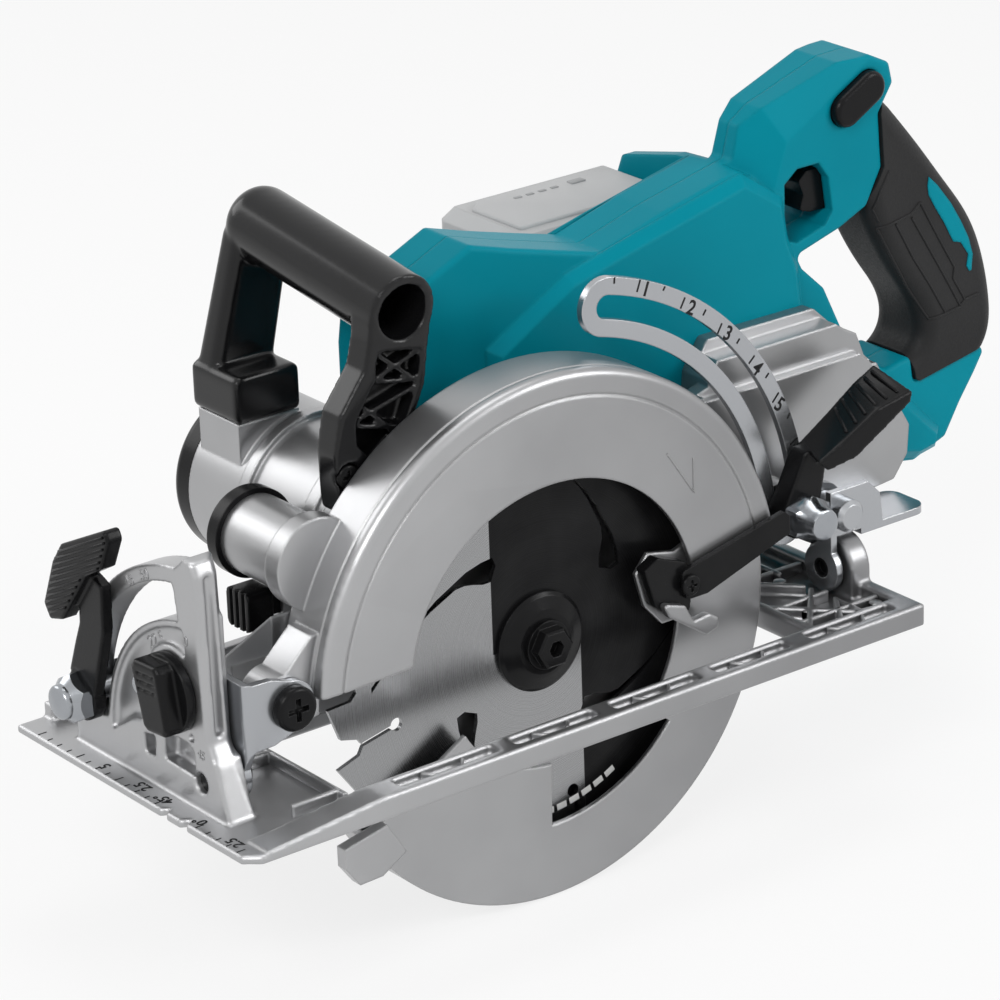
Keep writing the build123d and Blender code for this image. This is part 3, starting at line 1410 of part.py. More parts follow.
with BuildPart() as bevel_nut:
    hex_x(17.0, bevel_nut_x[0], bevel_nut_x[1], bevel_bolt_at)
    chamfer(bevel_nut.faces().sort_by(Axis.X)[0].edges(), nut_taper)
    nut_bore_x = bevel_nut_x[0] + 1.0 - face_gap
    rod_x(bevel_bolt_r + run_fit, nut_bore_x, bevel_nut_x[1], bevel_bolt_at, Mode.SUBTRACT)
save(bevel_nut, "bevel_nut")

# Sole plate with rails, rib lattice, bevel quadrant and rear hinge boss

rail_top_z_base = sole_z + rail_h
floor_z = sole_z + sole_t
rail_in_y = sole_near_y + rail_w
knob_at = (17.0, 18.5)
knob_shaft_r = 5.0
rib_t = 2.4
sole_outline = [
    (sole_front_x, sole_near_y + 5.0), (sole_front_x, sole_far_y), (sole_rear_x - 8.0, sole_far_y),
    (sole_rear_x, sole_far_y - 8.0), (sole_rear_x, sole_near_y + 3.0),
    (sole_rear_x - 3.0, sole_near_y), (sole_front_x + 6.0, sole_near_y),
]
rail_side = [
    (sole_front_x + 8.5, sole_z), (sole_front_x + 8.5, sole_z + 4.0), (sole_front_x + 58.5, rail_top_z_base),
    (sole_rear_x, rail_top_z_base), (sole_rear_x, sole_z),
]
quadrant_leg = [
    (-15.0, sole_z),
    (-7.0, -4.0),
    (-3.0, 4.0),
    (-1.5, 40.0),
    (-0.5, 66.0),
    (1.5, 71.0),
    (6.0, 72.0),
    (11.5, 67.5),
    (9.0, 40.0),
    (6.0, 4.0),
    (8.0, sole_z),
]
quadrant_foot = [
    (-13.0, sole_z), (-6.0, -2.0), (6.0, 2.0), (28.0, 2.5), (46.0, -2.0), (55.0, -8.0), (62.0, -13.0),
    (84.0, -13.0), (84.0, sole_z),
]
quadrant_web = [
    (0.0, sole_z), (0.0, 50.0), (20.0, 50.0), (40.0, 40.0), (57.0, 20.0), (56.0, -6.0), (62.0, sole_z),
]
web_back = 2.5
arc_slot_r = (59.5, bevel_bolt_reach + bevel_bolt_r + 1.0)
foot_pockets = [
    [(31.0, -4.0), (38.6, -5.5), (38.6, -13.0), (32.0, -12.5)],
    [(6.5, -2.0), (9.0, 0.0), (14.5, 0.5), (25.0, -1.0), (26.0, -11.0), (6.5, -11.5)],
]
rail_pockets = [(14.0, 58.0), (66.0, 104.0), (112.0, 152.0), (160.0, 196.0), (206.0, 248.0)]
leg_groove_x = (quadrant_x + 4.2, quadrant_x + 7.4)


def rib(start, end, z_high):
    angle = atan2(end[1] - start[1], end[0] - start[0])
    nx = -sin(angle) * rib_t / 2
    ny = cos(angle) * rib_t / 2
    corners = [(start[0] + nx, start[1] + ny), (end[0] + nx, end[1] + ny), (end[0] - nx, end[1] - ny),
               (start[0] - nx, start[1] - ny)]
    plate_z(corners, sole_z, z_high)


with BuildPart() as leg_post:
    plate_x(quadrant_leg, quadrant_x, quadrant_x + quadrant_t)
    near_sides = leg_post.faces().filter_by(lambda face: face.normal_at().Y < -0.5)
    rear_edges = near_sides.edges().group_by(Axis.X)[-1]
    front_edges = near_sides.edges().group_by(Axis.X)[0]
    chamfer(rear_edges.filter_by_position(Axis.Z, -3.0, 80.0), 3.5)
    chamfer(front_edges.filter_by_position(Axis.Z, -3.0, 80.0), 1.2)

with BuildPart() as base_plate:
    plate_z(sole_outline, sole_z, floor_z)
    plate_y(rail_side, sole_near_y, rail_in_y)
    block(
        (sole_front_x + 12.0, sole_rear_x - 8.0),
        (sole_far_y - 6.0, sole_far_y),
        (sole_z, rail_top_z_base),
    )
    block((sole_rear_x - 6.0, sole_rear_x), (rail_in_y, sole_far_y - 8.0), (sole_z, rail_top_z_base))
    block((slot_rear_x, slot_rear_x + 4.0), (rail_in_y, sole_far_y), (sole_z, rail_top_z_base))
    block((slot_front_x - 4.0, slot_rear_x + 4.0), (slot_far_y, slot_far_y + 4.0), (sole_z, rail_top_z_base))
    for y_start in (rail_in_y, rail_in_y + 33.0, slot_far_y + 4.0, slot_far_y + 36.0):
        rib((slot_rear_x + 2.0, y_start), (sole_rear_x - 20.0, y_start + 30.0), rail_top_z_base - 1.0)
        rib((slot_rear_x + 2.0, y_start + 30.0), (sole_rear_x - 20.0, y_start), rail_top_z_base - 1.0)
    rib((sole_rear_x - 20.0, rail_in_y), (sole_rear_x - 20.0, -12.0), rail_top_z_base - 1.0)
    rib((sole_rear_x - 20.0, 20.0), (sole_rear_x - 20.0, sole_far_y), rail_top_z_base - 1.0)
    for bay in range(4):
        x_start = slot_front_x + 8.0 + 50.0 * bay
        rib((x_start, slot_far_y + 2.0), (x_start + 48.0, sole_far_y - 3.0), rail_top_z_base - 1.0)
        rib((x_start + 48.0, slot_far_y + 2.0), (x_start, sole_far_y - 3.0), rail_top_z_base - 1.0)
    rod_x(13.0, rear_boss_x[0], rear_boss_x[1], bevel_axis)
    block(rear_boss_x, (-10.0, 16.0), (sole_z, bevel_axis[1]))
    add(leg_post.part)
    plate_x(quadrant_foot, quadrant_x, quadrant_x + quadrant_t)
    sector_x(arc_slot_r[0] - 2.5, quadrant_r, -6.0, 88.0, quadrant_x, quadrant_x + quadrant_t, bevel_axis)
    plate_x(quadrant_web, quadrant_x + web_back, quadrant_x + quadrant_t)
    sector_x(44.0, arc_slot_r[0], 0.0, 88.0, quadrant_x + web_back, quadrant_x + quadrant_t, bevel_axis)
    sector_x(45.0, 47.0, 52.0, 86.0, quadrant_x + 0.6, quadrant_x + quadrant_t, bevel_axis)
    rod_x(17.0, quadrant_x, quadrant_x + quadrant_t, knob_at)
    sector_x(
        arc_slot_r[0],
        arc_slot_r[1],
        bevel_bolt_angle - 4.6,
        bevel_bolt_angle + bevel_range + 18.0,
        quadrant_x,
        quadrant_x + quadrant_t,
        bevel_axis,
        Mode.SUBTRACT,
    )
    block((slot_front_x, slot_rear_x), (rail_in_y, slot_far_y), (sole_z - 1.0, 0.0), Mode.SUBTRACT)
    rod_x(bevel_pin_r + run_fit, quadrant_x - 1.0, quadrant_x + quadrant_t, bevel_axis, Mode.SUBTRACT)
    rod_x(bevel_pin_r + run_fit, rear_boss_x[0], rear_boss_x[1], bevel_axis, Mode.SUBTRACT)
    rod_x(knob_shaft_r + run_fit, quadrant_x, quadrant_x + quadrant_t, knob_at, Mode.SUBTRACT)
    for pocket in foot_pockets:
        plate_x(pocket, quadrant_x - 1.0, quadrant_x + 6.0, mode=Mode.SUBTRACT)
    block(leg_groove_x, (-8.0, 1.2), (6.0, 66.0), Mode.SUBTRACT)
    for start, end in rail_pockets:
        block((slot_front_x + start, slot_front_x + end), (sole_near_y + 4.5, rail_in_y - 2.5),
              (rail_top_z_base - 4.0, rail_top_z_base), Mode.SUBTRACT)
    for y_mark in (0.0, 12.5):
        plate_z([(sole_front_x, y_mark - 2.0), (sole_front_x + 4.0, y_mark), (sole_front_x, y_mark + 2.0)],
                sole_z, floor_z, mode=Mode.SUBTRACT)
save(base_plate, "base_plate")

# Bevel stop knob with a bar grip, and the pointer screw beside it

knob_face_x = quadrant_x - face_gap
knob_bar = [
    (-4.6, 13.2), (8.6, 12.4), (10.6, 9.6), (4.8, -11.8), (2.2, -13.4), (-8.6, -12.4), (-10.6, -9.6),
    (-6.6, 11.2),
]
with BuildPart() as stop_knob:
    rod_x(knob_shaft_r, knob_face_x, quadrant_x + quadrant_t, knob_at)
    rod_x(15.0, knob_face_x - 3.5, knob_face_x, knob_at)
    plate_x(moved(knob_bar, knob_at), knob_face_x - 10.4, knob_face_x - 3.5)
    fillet(stop_knob.faces().sort_by(Axis.X)[0].edges(), 1.6)
    for z in (2.6, 5.6, 8.6):
        plate_x(moved(strip((-4.6, z + 0.5), (6.6, z - 0.4), 1.0), knob_at), knob_face_x - 11.0,
                knob_face_x - 9.7, mode=Mode.SUBTRACT)
save(stop_knob, "stop_knob")

pointer_at = (38.0, 14.0)
with BuildPart() as pointer_screw:
    rod_x(3.6, quadrant_x - 2.0, quadrant_x, pointer_at)
    fillet(pointer_screw.edges().group_by(Axis.X)[0], 0.8)
save(pointer_screw, "pointer_screw")

# Screws that hold the housing halves together

core_screws = [(-20.0, 108.0), (34.0, 121.0), (164.0, 146.0), (198.0, 138.0)]
panel_screws = [(56.0, 100.0), (200.0, 24.0)]
with BuildPart() as housing_screws:
    for at in core_screws:
        rod_y(3.4, body_mid_y + body_core_half, body_mid_y + body_core_half + 1.8, at)
    for at in panel_screws:
        rod_y(3.4, body_far_y, body_far_y + 1.8, at)
save(housing_screws, "housing_screws")
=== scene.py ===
import bpy
import json
import math
from mathutils import Matrix, Vector


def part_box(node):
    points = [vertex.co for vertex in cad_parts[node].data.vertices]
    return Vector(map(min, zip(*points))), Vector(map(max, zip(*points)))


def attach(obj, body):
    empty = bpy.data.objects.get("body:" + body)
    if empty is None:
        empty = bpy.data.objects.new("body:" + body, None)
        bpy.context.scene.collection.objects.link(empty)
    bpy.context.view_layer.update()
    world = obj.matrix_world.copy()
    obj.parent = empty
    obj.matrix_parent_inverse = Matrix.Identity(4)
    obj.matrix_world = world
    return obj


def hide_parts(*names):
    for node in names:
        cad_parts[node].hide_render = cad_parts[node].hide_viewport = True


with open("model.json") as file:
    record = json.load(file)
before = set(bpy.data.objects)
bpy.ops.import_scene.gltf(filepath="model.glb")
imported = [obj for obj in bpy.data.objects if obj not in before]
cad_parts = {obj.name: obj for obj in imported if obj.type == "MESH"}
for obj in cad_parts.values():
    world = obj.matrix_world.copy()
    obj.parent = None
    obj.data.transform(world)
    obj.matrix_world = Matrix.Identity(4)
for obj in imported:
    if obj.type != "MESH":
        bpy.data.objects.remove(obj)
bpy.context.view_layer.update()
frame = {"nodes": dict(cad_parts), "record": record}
nodes = frame["nodes"]
print("frame loaded:", len(nodes), "nodes")

mm = 0.001


# Finishes: each one has its own grain, colour drift and soft edges; several also have a painted highlight
# along their edges, and the light casting has painted light, lighter at the toe and darker at the heel

noiseSpan = (0.3, 0.7)  # the part of a noise's range over which a finish changes
edgeLook = dict(samples=4, turnFrom=0.99, turnTo=0.86)
# painted light fade: how far it lightens the toe and darkens the heel, and how far the random tone is calmed
# under it
paintedLightLook = dict(reach=0.22, calm=(0.35, 0.65))
mixSocket = dict(factor=0, first=6, second=7, result=2)  # the colour sockets of a mix node


def startFinish(name):
    finish = bpy.data.materials.new(name)
    finish.use_nodes = True
    tree = finish.node_tree
    place = tree.nodes.new("ShaderNodeTexCoord").outputs["Object"]
    return finish, tree, tree.nodes["Principled BSDF"], place


def noiseOn(tree, place, scale, detail=3.0):
    noise = tree.nodes.new("ShaderNodeTexNoise")
    noise.inputs["Scale"].default_value = scale
    noise.inputs["Detail"].default_value = detail
    tree.links.new(place, noise.inputs["Vector"])
    return noise.outputs["Fac"]


def rampOn(tree, factor, lowColour, highColour):
    ramp = tree.nodes.new("ShaderNodeValToRGB")
    for stop, position, colour in zip(ramp.color_ramp.elements, noiseSpan, (lowColour, highColour)):
        stop.position = position
        stop.color = (*colour, 1)
    tree.links.new(factor, ramp.inputs["Fac"])
    return ramp.outputs["Color"]


def spanOn(tree, factor, fromLow, fromHigh, toLow, toHigh):
    span = tree.nodes.new("ShaderNodeMapRange")
    span.inputs["From Min"].default_value = fromLow
    span.inputs["From Max"].default_value = fromHigh
    span.inputs["To Min"].default_value = toLow
    span.inputs["To Max"].default_value = toHigh
    tree.links.new(factor, span.inputs["Value"])
    return span.outputs["Result"]


def mathOn(tree, operation, first, second):
    node = tree.nodes.new("ShaderNodeMath")
    node.operation = operation
    for socket, value in zip(node.inputs, (first, second)):
        if isinstance(value, float):
            socket.default_value = value
        else:
            tree.links.new(value, socket)
    return node.outputs[0]


def softEdge(tree, radius):
    edgeRoundAndPaintedHighlight = tree.nodes.new("ShaderNodeBevel")
    edgeRoundAndPaintedHighlight.samples = edgeLook["samples"]
    edgeRoundAndPaintedHighlight.inputs["Radius"].default_value = radius
    return edgeRoundAndPaintedHighlight.outputs["Normal"]


# painted highlight: this mask marks where the normal turns at an edge, so the finish can paint a lighter
# colour there
def paintedEdgeHighlightMask(tree, edgeNormal):
    flat = tree.nodes.new("ShaderNodeNewGeometry").outputs["Normal"]
    turn = tree.nodes.new("ShaderNodeVectorMath")
    turn.operation = "DOT_PRODUCT"
    tree.links.new(edgeNormal, turn.inputs[0])
    tree.links.new(flat, turn.inputs[1])
    return spanOn(tree, turn.outputs["Value"], edgeLook["turnFrom"], edgeLook["turnTo"], 0.0, 1.0)


def mixOn(tree, factor, first, second):  # the second is a plain colour or another node's output
    mix = tree.nodes.new("ShaderNodeMix")
    mix.data_type = "RGBA"
    tree.links.new(factor, mix.inputs[mixSocket["factor"]])
    tree.links.new(first, mix.inputs[mixSocket["first"]])
    if isinstance(second, tuple):
        mix.inputs[mixSocket["second"]].default_value = (*second, 1)
    else:
        tree.links.new(second, mix.inputs[mixSocket["second"]])
    return mix.outputs[mixSocket["result"]]


def bumpOn(tree, shader, height, distance, strength, normal=None):
    bump = tree.nodes.new("ShaderNodeBump")
    bump.inputs["Distance"].default_value = distance
    bump.inputs["Strength"].default_value = strength
    tree.links.new(height, bump.inputs["Height"])
    if normal:
        tree.links.new(normal, bump.inputs["Normal"])
    tree.links.new(bump.outputs["Normal"], shader.inputs["Normal"])


def surfaceFinish(name, kit):
    finish, tree, shader, place = startFinish(name)
    driftAndPaintedLight = noiseOn(tree, place, kit["driftScale"])
    if "paintedLightFade" in kit:  # painted light: the casting is made lighter towards the toe and darker towards the heel, as if lit from the toe side
        split = tree.nodes.new("ShaderNodeSeparateXYZ")
        tree.links.new(place, split.inputs[0])
        paintedLightFade = spanOn(tree, split.outputs["X"], *kit["paintedLightFade"], paintedLightLook["reach"], -paintedLightLook["reach"])
        driftAndPaintedLight = mathOn(tree, "ADD", spanOn(tree, driftAndPaintedLight, 0.0, 1.0, *paintedLightLook["calm"]), paintedLightFade)
    colour = rampOn(tree, driftAndPaintedLight, kit["dark"], kit["light"])
    edgeRoundAndPaintedHighlight = softEdge(tree, kit["edgeRadius"])
    # painted highlight: edges are mixed towards the kit's lighter edge colour
    if "edgeRoundAndPaintedHighlight" in kit:
        colour = mixOn(tree, paintedEdgeHighlightMask(tree, edgeRoundAndPaintedHighlight), colour, kit["edgeRoundAndPaintedHighlight"])
    tree.links.new(colour, shader.inputs["Base Color"])
    grain = noiseOn(tree, place, kit["grainScale"], 4.0)
    tree.links.new(spanOn(tree, grain, *noiseSpan, *kit["rough"]), shader.inputs["Roughness"])
    bumpOn(tree, shader, grain, kit["grainDepth"], kit["grainForce"], edgeRoundAndPaintedHighlight)
    shader.inputs["Metallic"].default_value = kit.get("metal", 0.0)
    shader.inputs["Specular IOR Level"].default_value = kit.get("gloss", 0.5)
    return finish


# the edge colour in a kit is a painted highlight along that finish's edges
finishKits = {
    "tealPlastic": dict(
        dark=(0.0005, 0.208, 0.274), light=(0.001, 0.232, 0.302), driftScale=14, grainScale=2600,
        grainDepth=0.00004, grainForce=0.35, rough=(0.3, 0.4), edgeRadius=0.002, gloss=0.05,
        edgeRoundAndPaintedHighlight=(0.004, 0.258, 0.332),
    ),
    "blackRubber": dict(
        dark=(0.011, 0.011, 0.0115), light=(0.017, 0.017, 0.0175), driftScale=20, grainScale=1100,
        grainDepth=0.00014, grainForce=0.6, rough=(0.48, 0.62), edgeRadius=0.0008, gloss=0.2,
    ),
    "blackPlastic": dict(
        dark=(0.004, 0.004, 0.0045), light=(0.007, 0.007, 0.0075), driftScale=25, grainScale=2400,
        grainDepth=0.00003, grainForce=0.3, rough=(0.18, 0.28), edgeRadius=0.0009, gloss=0.14,
        edgeRoundAndPaintedHighlight=(0.01, 0.01, 0.011),
    ),
    "handlePlastic": dict(
        dark=(0.004, 0.004, 0.0045), light=(0.007, 0.007, 0.0075), driftScale=25, grainScale=2400,
        grainDepth=0.00002, grainForce=0.25, rough=(0.14, 0.22), edgeRadius=0.0009, gloss=0.3,
        edgeRoundAndPaintedHighlight=(0.01, 0.01, 0.011),
    ),
    "lightCasting": dict(
        dark=(0.255, 0.256, 0.262), light=(0.415, 0.417, 0.424), driftScale=18, grainScale=3200,
        grainDepth=0.00003, grainForce=0.4, rough=(0.28, 0.38), edgeRadius=0.0014, metal=0.88,
        # the fade is painted light, lighter at the toe and darker at the heel
        edgeRoundAndPaintedHighlight=(0.45, 0.452, 0.456), paintedLightFade=(-0.13, 0.15),
    ),
    "bodyCasting": dict(
        dark=(0.31, 0.312, 0.318), light=(0.36, 0.362, 0.368), driftScale=16, grainScale=2600,
        grainDepth=0.00004, grainForce=0.4, rough=(0.28, 0.38), edgeRadius=0.0014, metal=0.88,
        edgeRoundAndPaintedHighlight=(0.41, 0.412, 0.416),
    ),
    "blackSteel": dict(
        dark=(0.005, 0.005, 0.0055), light=(0.009, 0.009, 0.0095), driftScale=60, grainScale=2800,
        grainDepth=0.00003, grainForce=0.4, rough=(0.16, 0.26), edgeRadius=0.0006, gloss=0.12,
        edgeRoundAndPaintedHighlight=(0.022, 0.022, 0.023),
    ),
    "palePlastic": dict(
        dark=(0.42, 0.425, 0.43), light=(0.48, 0.485, 0.49), driftScale=18, grainScale=2400,
        grainDepth=0.00003, grainForce=0.3, rough=(0.38, 0.5), edgeRadius=0.0012, gloss=0.3,
    ),
    "gearSteel": dict(
        dark=(0.3, 0.3, 0.31), light=(0.4, 0.4, 0.41), driftScale=90, grainScale=1800,
        grainDepth=0.00003, grainForce=0.4, rough=(0.28, 0.42), edgeRadius=0.0003, metal=1.0,
    ),
    "zincPlate": dict(
        dark=(0.37, 0.382, 0.4), light=(0.405, 0.416, 0.432), driftScale=12, grainScale=1500,
        grainDepth=0.00001, grainForce=0.15, rough=(0.22, 0.27), edgeRadius=0.0006, metal=0.9,
        edgeRoundAndPaintedHighlight=(0.52, 0.528, 0.54),
    ),
    "nutPlate": dict(
        dark=(0.3, 0.315, 0.335), light=(0.36, 0.375, 0.395), driftScale=60, grainScale=1500,
        grainDepth=0.00002, grainForce=0.25, rough=(0.16, 0.24), edgeRadius=0.0004, metal=1.0,
        edgeRoundAndPaintedHighlight=(0.5, 0.51, 0.52),
    ),
    "scaleInk": dict(
        dark=(0.008, 0.008, 0.009), light=(0.016, 0.016, 0.016), driftScale=300, grainScale=3000,
        grainDepth=0.00002, grainForce=0.3, rough=(0.5, 0.65), edgeRadius=0.0002, gloss=0.15,
    ),
    "whiteInk": dict(
        dark=(0.7, 0.7, 0.69), light=(0.78, 0.78, 0.77), driftScale=300, grainScale=3000,
        grainDepth=0.00002, grainForce=0.3, rough=(0.45, 0.6), edgeRadius=0.0002, gloss=0.3,
    ),
    "palePad": dict(
        dark=(0.3, 0.305, 0.31), light=(0.34, 0.345, 0.35), driftScale=30, grainScale=2400,
        grainDepth=0.00003, grainForce=0.3, rough=(0.4, 0.5), edgeRadius=0.0005, gloss=0.3,
    ),
}
finishes = {name: surfaceFinish(name, kit) for name, kit in finishKits.items()}

bladeKit = dict(
    ringScale=5200, ringDetail=2.0, ringDepth=0.00002, ringForce=0.5, dark=(0.24, 0.243, 0.248),
    light=(0.36, 0.363, 0.368), rough=(0.2, 0.32), gloss=0.1, inkScale=60, inkDark=(0.006, 0.006, 0.0065),
    inkLight=(0.012, 0.012, 0.0125), inkMetal=0.1, upperEdge=-0.021, lowerEdge=0.0195, blend=0.0002,
    rimReach=0.0835,
)


def groundFinish(name, kit):
    finish, tree, shader, place = startFinish(name)
    split = tree.nodes.new("ShaderNodeSeparateXYZ")
    tree.links.new(place, split.inputs[0])
    flatPoint = tree.nodes.new("ShaderNodeCombineXYZ")
    tree.links.new(split.outputs["X"], flatPoint.inputs["X"])
    tree.links.new(split.outputs["Z"], flatPoint.inputs["Y"])
    reach = tree.nodes.new("ShaderNodeVectorMath")
    reach.operation = "LENGTH"
    tree.links.new(flatPoint.outputs[0], reach.inputs[0])
    rings = tree.nodes.new("ShaderNodeTexNoise")
    rings.noise_dimensions = "1D"
    rings.inputs["Scale"].default_value = kit["ringScale"]
    rings.inputs["Detail"].default_value = kit["ringDetail"]
    tree.links.new(reach.outputs["Value"], rings.inputs["W"])
    steel = rampOn(tree, rings.outputs["Fac"], kit["dark"], kit["light"])
    ink = rampOn(tree, noiseOn(tree, place, kit["inkScale"]), kit["inkDark"], kit["inkLight"])
    # the dark print covers the rear part of the disc, with its edge stepping at the hub
    above = spanOn(tree, split.outputs["Z"], -kit["blend"], kit["blend"], 0.0, 1.0)
    edgeAt = spanOn(tree, above, 0.0, 1.0, kit["lowerEdge"], kit["upperEdge"])
    past = spanOn(tree, mathOn(tree, "SUBTRACT", split.outputs["X"], edgeAt), 0.0, kit["blend"], 0.0, 1.0)
    rimAt = kit["rimReach"]
    inside = spanOn(tree, reach.outputs["Value"], rimAt, rimAt + kit["blend"], 1.0, 0.0)
    inked = mathOn(tree, "MULTIPLY", past, inside)
    tree.links.new(mixOn(tree, inked, steel, ink), shader.inputs["Base Color"])
    rough = spanOn(tree, rings.outputs["Fac"], *noiseSpan, *kit["rough"])
    tree.links.new(rough, shader.inputs["Roughness"])
    tree.links.new(spanOn(tree, inked, 0.0, 1.0, 1.0, kit["inkMetal"]), shader.inputs["Metallic"])
    bumpOn(tree, shader, rings.outputs["Fac"], kit["ringDepth"], kit["ringForce"])
    shader.inputs["Specular IOR Level"].default_value = kit["gloss"]
    return finish


finishes["bladeSteel"] = groundFinish("bladeSteel", bladeKit)
slotFinish = {
    "teal_plastic": "tealPlastic", "black_rubber": "blackRubber", "black_plastic": "blackPlastic",
    "light_casting": "lightCasting", "dark_casting": "bodyCasting", "depth_paint": "blackPlastic",
    "zinc_steel": "zincPlate", "blade_steel": "bladeSteel", "gear_steel": "gearSteel",
    "black_steel": "blackSteel", "pale_plastic": "palePlastic",
}
for part in frame["record"]["subparts"]:
    shape = nodes[part["node"]].data
    shape.materials.clear()
    shape.materials.append(finishes[slotFinish[part["material_slot"]]])
print("finishes:", len(finishes))

# Modelling steps that the pieces share

smoothAngle = math.radians(35)


def point(x, y, z):
    return Vector((x * mm, y * mm, z * mm))


def sized(sides):
    return tuple(side * mm for side in sides)


def alone(piece):
    bpy.ops.object.select_all(action="DESELECT")
    piece.select_set(True)
    bpy.context.view_layer.objects.active = piece


def editAll():
    bpy.ops.object.mode_set(mode="EDIT")
    bpy.ops.mesh.select_all(action="SELECT")


def editDone():
    bpy.ops.object.mode_set(mode="OBJECT")
    return bpy.context.object


def placed(origin, right, up):  # local X runs right, Y up, Z out of the face
    right = Vector(right).normalized()
    face = right.cross(Vector(up)).normalized()
    return Matrix.Translation(origin) @ Matrix((right, face.cross(right), face)).transposed().to_4x4()


def settle(piece, name, finish, body):
    alone(piece)
    bpy.ops.object.transform_apply(location=True, rotation=True, scale=True)
    bpy.ops.object.shade_smooth_by_angle(angle=smoothAngle)
    piece.name = name
    piece.data.name = name
    piece.data.materials.clear()
    piece.data.materials.append(finishes[finish])
    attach(piece, body)
    return piece


def together(pieces):
    bpy.ops.object.select_all(action="DESELECT")
    for piece in pieces:
        piece.select_set(True)
    bpy.context.view_layer.objects.active = pieces[0]
    if len(pieces) > 1:
        bpy.ops.object.join()
    return bpy.context.object


def roundBar(size, where, soft, steps=2):
    bpy.ops.object.select_all(action="DESELECT")
    bpy.ops.mesh.primitive_cube_add(size=1.0, scale=size)
    bpy.ops.object.transform_apply(location=False, rotation=False, scale=True)
    editAll()
    bpy.ops.mesh.bevel(offset=soft, segments=steps, affect="EDGES")
    bar = editDone()
    bar.matrix_world = where
    return bar


def number(words, height, thick, where, bold=0.0):
    bpy.ops.object.select_all(action="DESELECT")
    bpy.ops.object.text_add()
    letters = bpy.context.object.data
    letters.body = words
    letters.size = height
    letters.align_x = "CENTER"
    letters.align_y = "CENTER"
    letters.extrude = thick
    letters.offset = bold
    letters.resolution_u = 4
    bpy.ops.object.convert(target="MESH")
    editAll()
    bpy.ops.mesh.remove_doubles(threshold=0.000001)
    piece = editDone()
    piece.matrix_world = where
    return piece


def drawLine(points):  # one vertex pulled from point to point
    bpy.ops.object.select_all(action="DESELECT")
    bpy.ops.mesh.primitive_plane_add(size=0.002)
    editAll()
    bpy.ops.mesh.merge(type="CENTER")
    bpy.ops.transform.translate(value=points[0])
    for last, following in zip(points, points[1:]):
        bpy.ops.mesh.extrude_vertices_move(TRANSFORM_OT_translate={"value": following - last})
    return editDone()


def drawFace(points):
    drawLine(points)
    editAll()
    bpy.ops.mesh.edge_face_add()
    return editDone()


def cutPlate(points, push, soft, steps=2):
    drawFace(points)
    editAll()
    bpy.ops.mesh.extrude_region_move(TRANSFORM_OT_translate={"value": push})
    bpy.ops.mesh.select_all(action="SELECT")
    bpy.ops.mesh.normals_make_consistent(inside=False)
    bpy.ops.mesh.bevel(offset=soft, segments=steps, affect="EDGES")
    return editDone()


def wrapOn(piece, node, axis):
    wrap = piece.modifiers.new("wrap", "SHRINKWRAP")
    wrap.target = nodes[node]
    wrap.wrap_method = "PROJECT"
    for letter in "xyz":
        setattr(wrap, "use_project_" + letter, letter == axis)
    wrap.use_positive_direction = True
    wrap.use_negative_direction = True
    alone(piece)
    bpy.ops.object.modifier_apply(modifier="wrap")


def bead(points, node, axis, thick, cuts=8):
    drawLine(points)
    editAll()
    bpy.ops.mesh.subdivide(number_cuts=cuts)
    wrapOn(editDone(), node, axis)
    bpy.ops.object.convert(target="CURVE")
    cord = bpy.context.object
    cord.data.bevel_depth = thick
    cord.data.bevel_resolution = 2
    cord.data.use_fill_caps = True
    bpy.ops.object.convert(target="MESH")
    return bpy.context.object


def wrapPlate(points, node, axis, rise, cuts=5):
    drawFace(points)
    editAll()
    bpy.ops.mesh.quads_convert_to_tris()
    bpy.ops.mesh.subdivide(number_cuts=cuts)
    plate = editDone()
    wrapOn(plate, node, axis)
    wall = plate.modifiers.new("wall", "SOLIDIFY")
    wall.thickness = 2 * rise
    wall.offset = 0.0
    bpy.ops.object.modifier_apply(modifier="wall")
    return plate


def chord(outlinePoints, offset, along, across):
    cuts = []
    for start, end in zip(outlinePoints, outlinePoints[1:] + outlinePoints[:1]):
        before = Vector(start).dot(across) - offset
        after = Vector(end).dot(across) - offset
        if before * after < 0:
            share = before / (before - after)
            cuts.append(Vector(start).lerp(Vector(end), share).dot(along))
    return (min(cuts), max(cuts)) if len(cuts) > 1 else None


# Depth guide: ticks and numbers along its outer edge

guideKit = dict(
    body="guide", slot="black_plastic", thick=0.06, tickWidth=0.85, tickSoft=0.02, numberHeight=7.8,
    bold=0.16,
    ticks=[((47.4, 127.3), (47.2, 124.9)), ((59.4, 123.5), (57.7, 119.1)), ((71.0, 118.1), (70.0, 116.6)),
           ((80.4, 111.5), (78.1, 107.6)), ((90.3, 104.3), (88.8, 102.3)), ((97.9, 97.0), (95.7, 93.4)),
           ((106.4, 88.8), (104.9, 87.1)), ((113.6, 80.2), (110.7, 77.6)), ((120.5, 71.4), (118.8, 69.8)),
           ((125.3, 62.3), (122.1, 59.0)), ((130.6, 52.5), (129.3, 50.6)), ((134.5, 41.7), (130.7, 39.7))],
    numbers=[("1", (62.0, 119.0)), ("2", (83.3, 106.5)), ("3", (100.7, 92.1)), ("4", (114.8, 74.6)),
             ("5", (125.5, 57.2))],
)


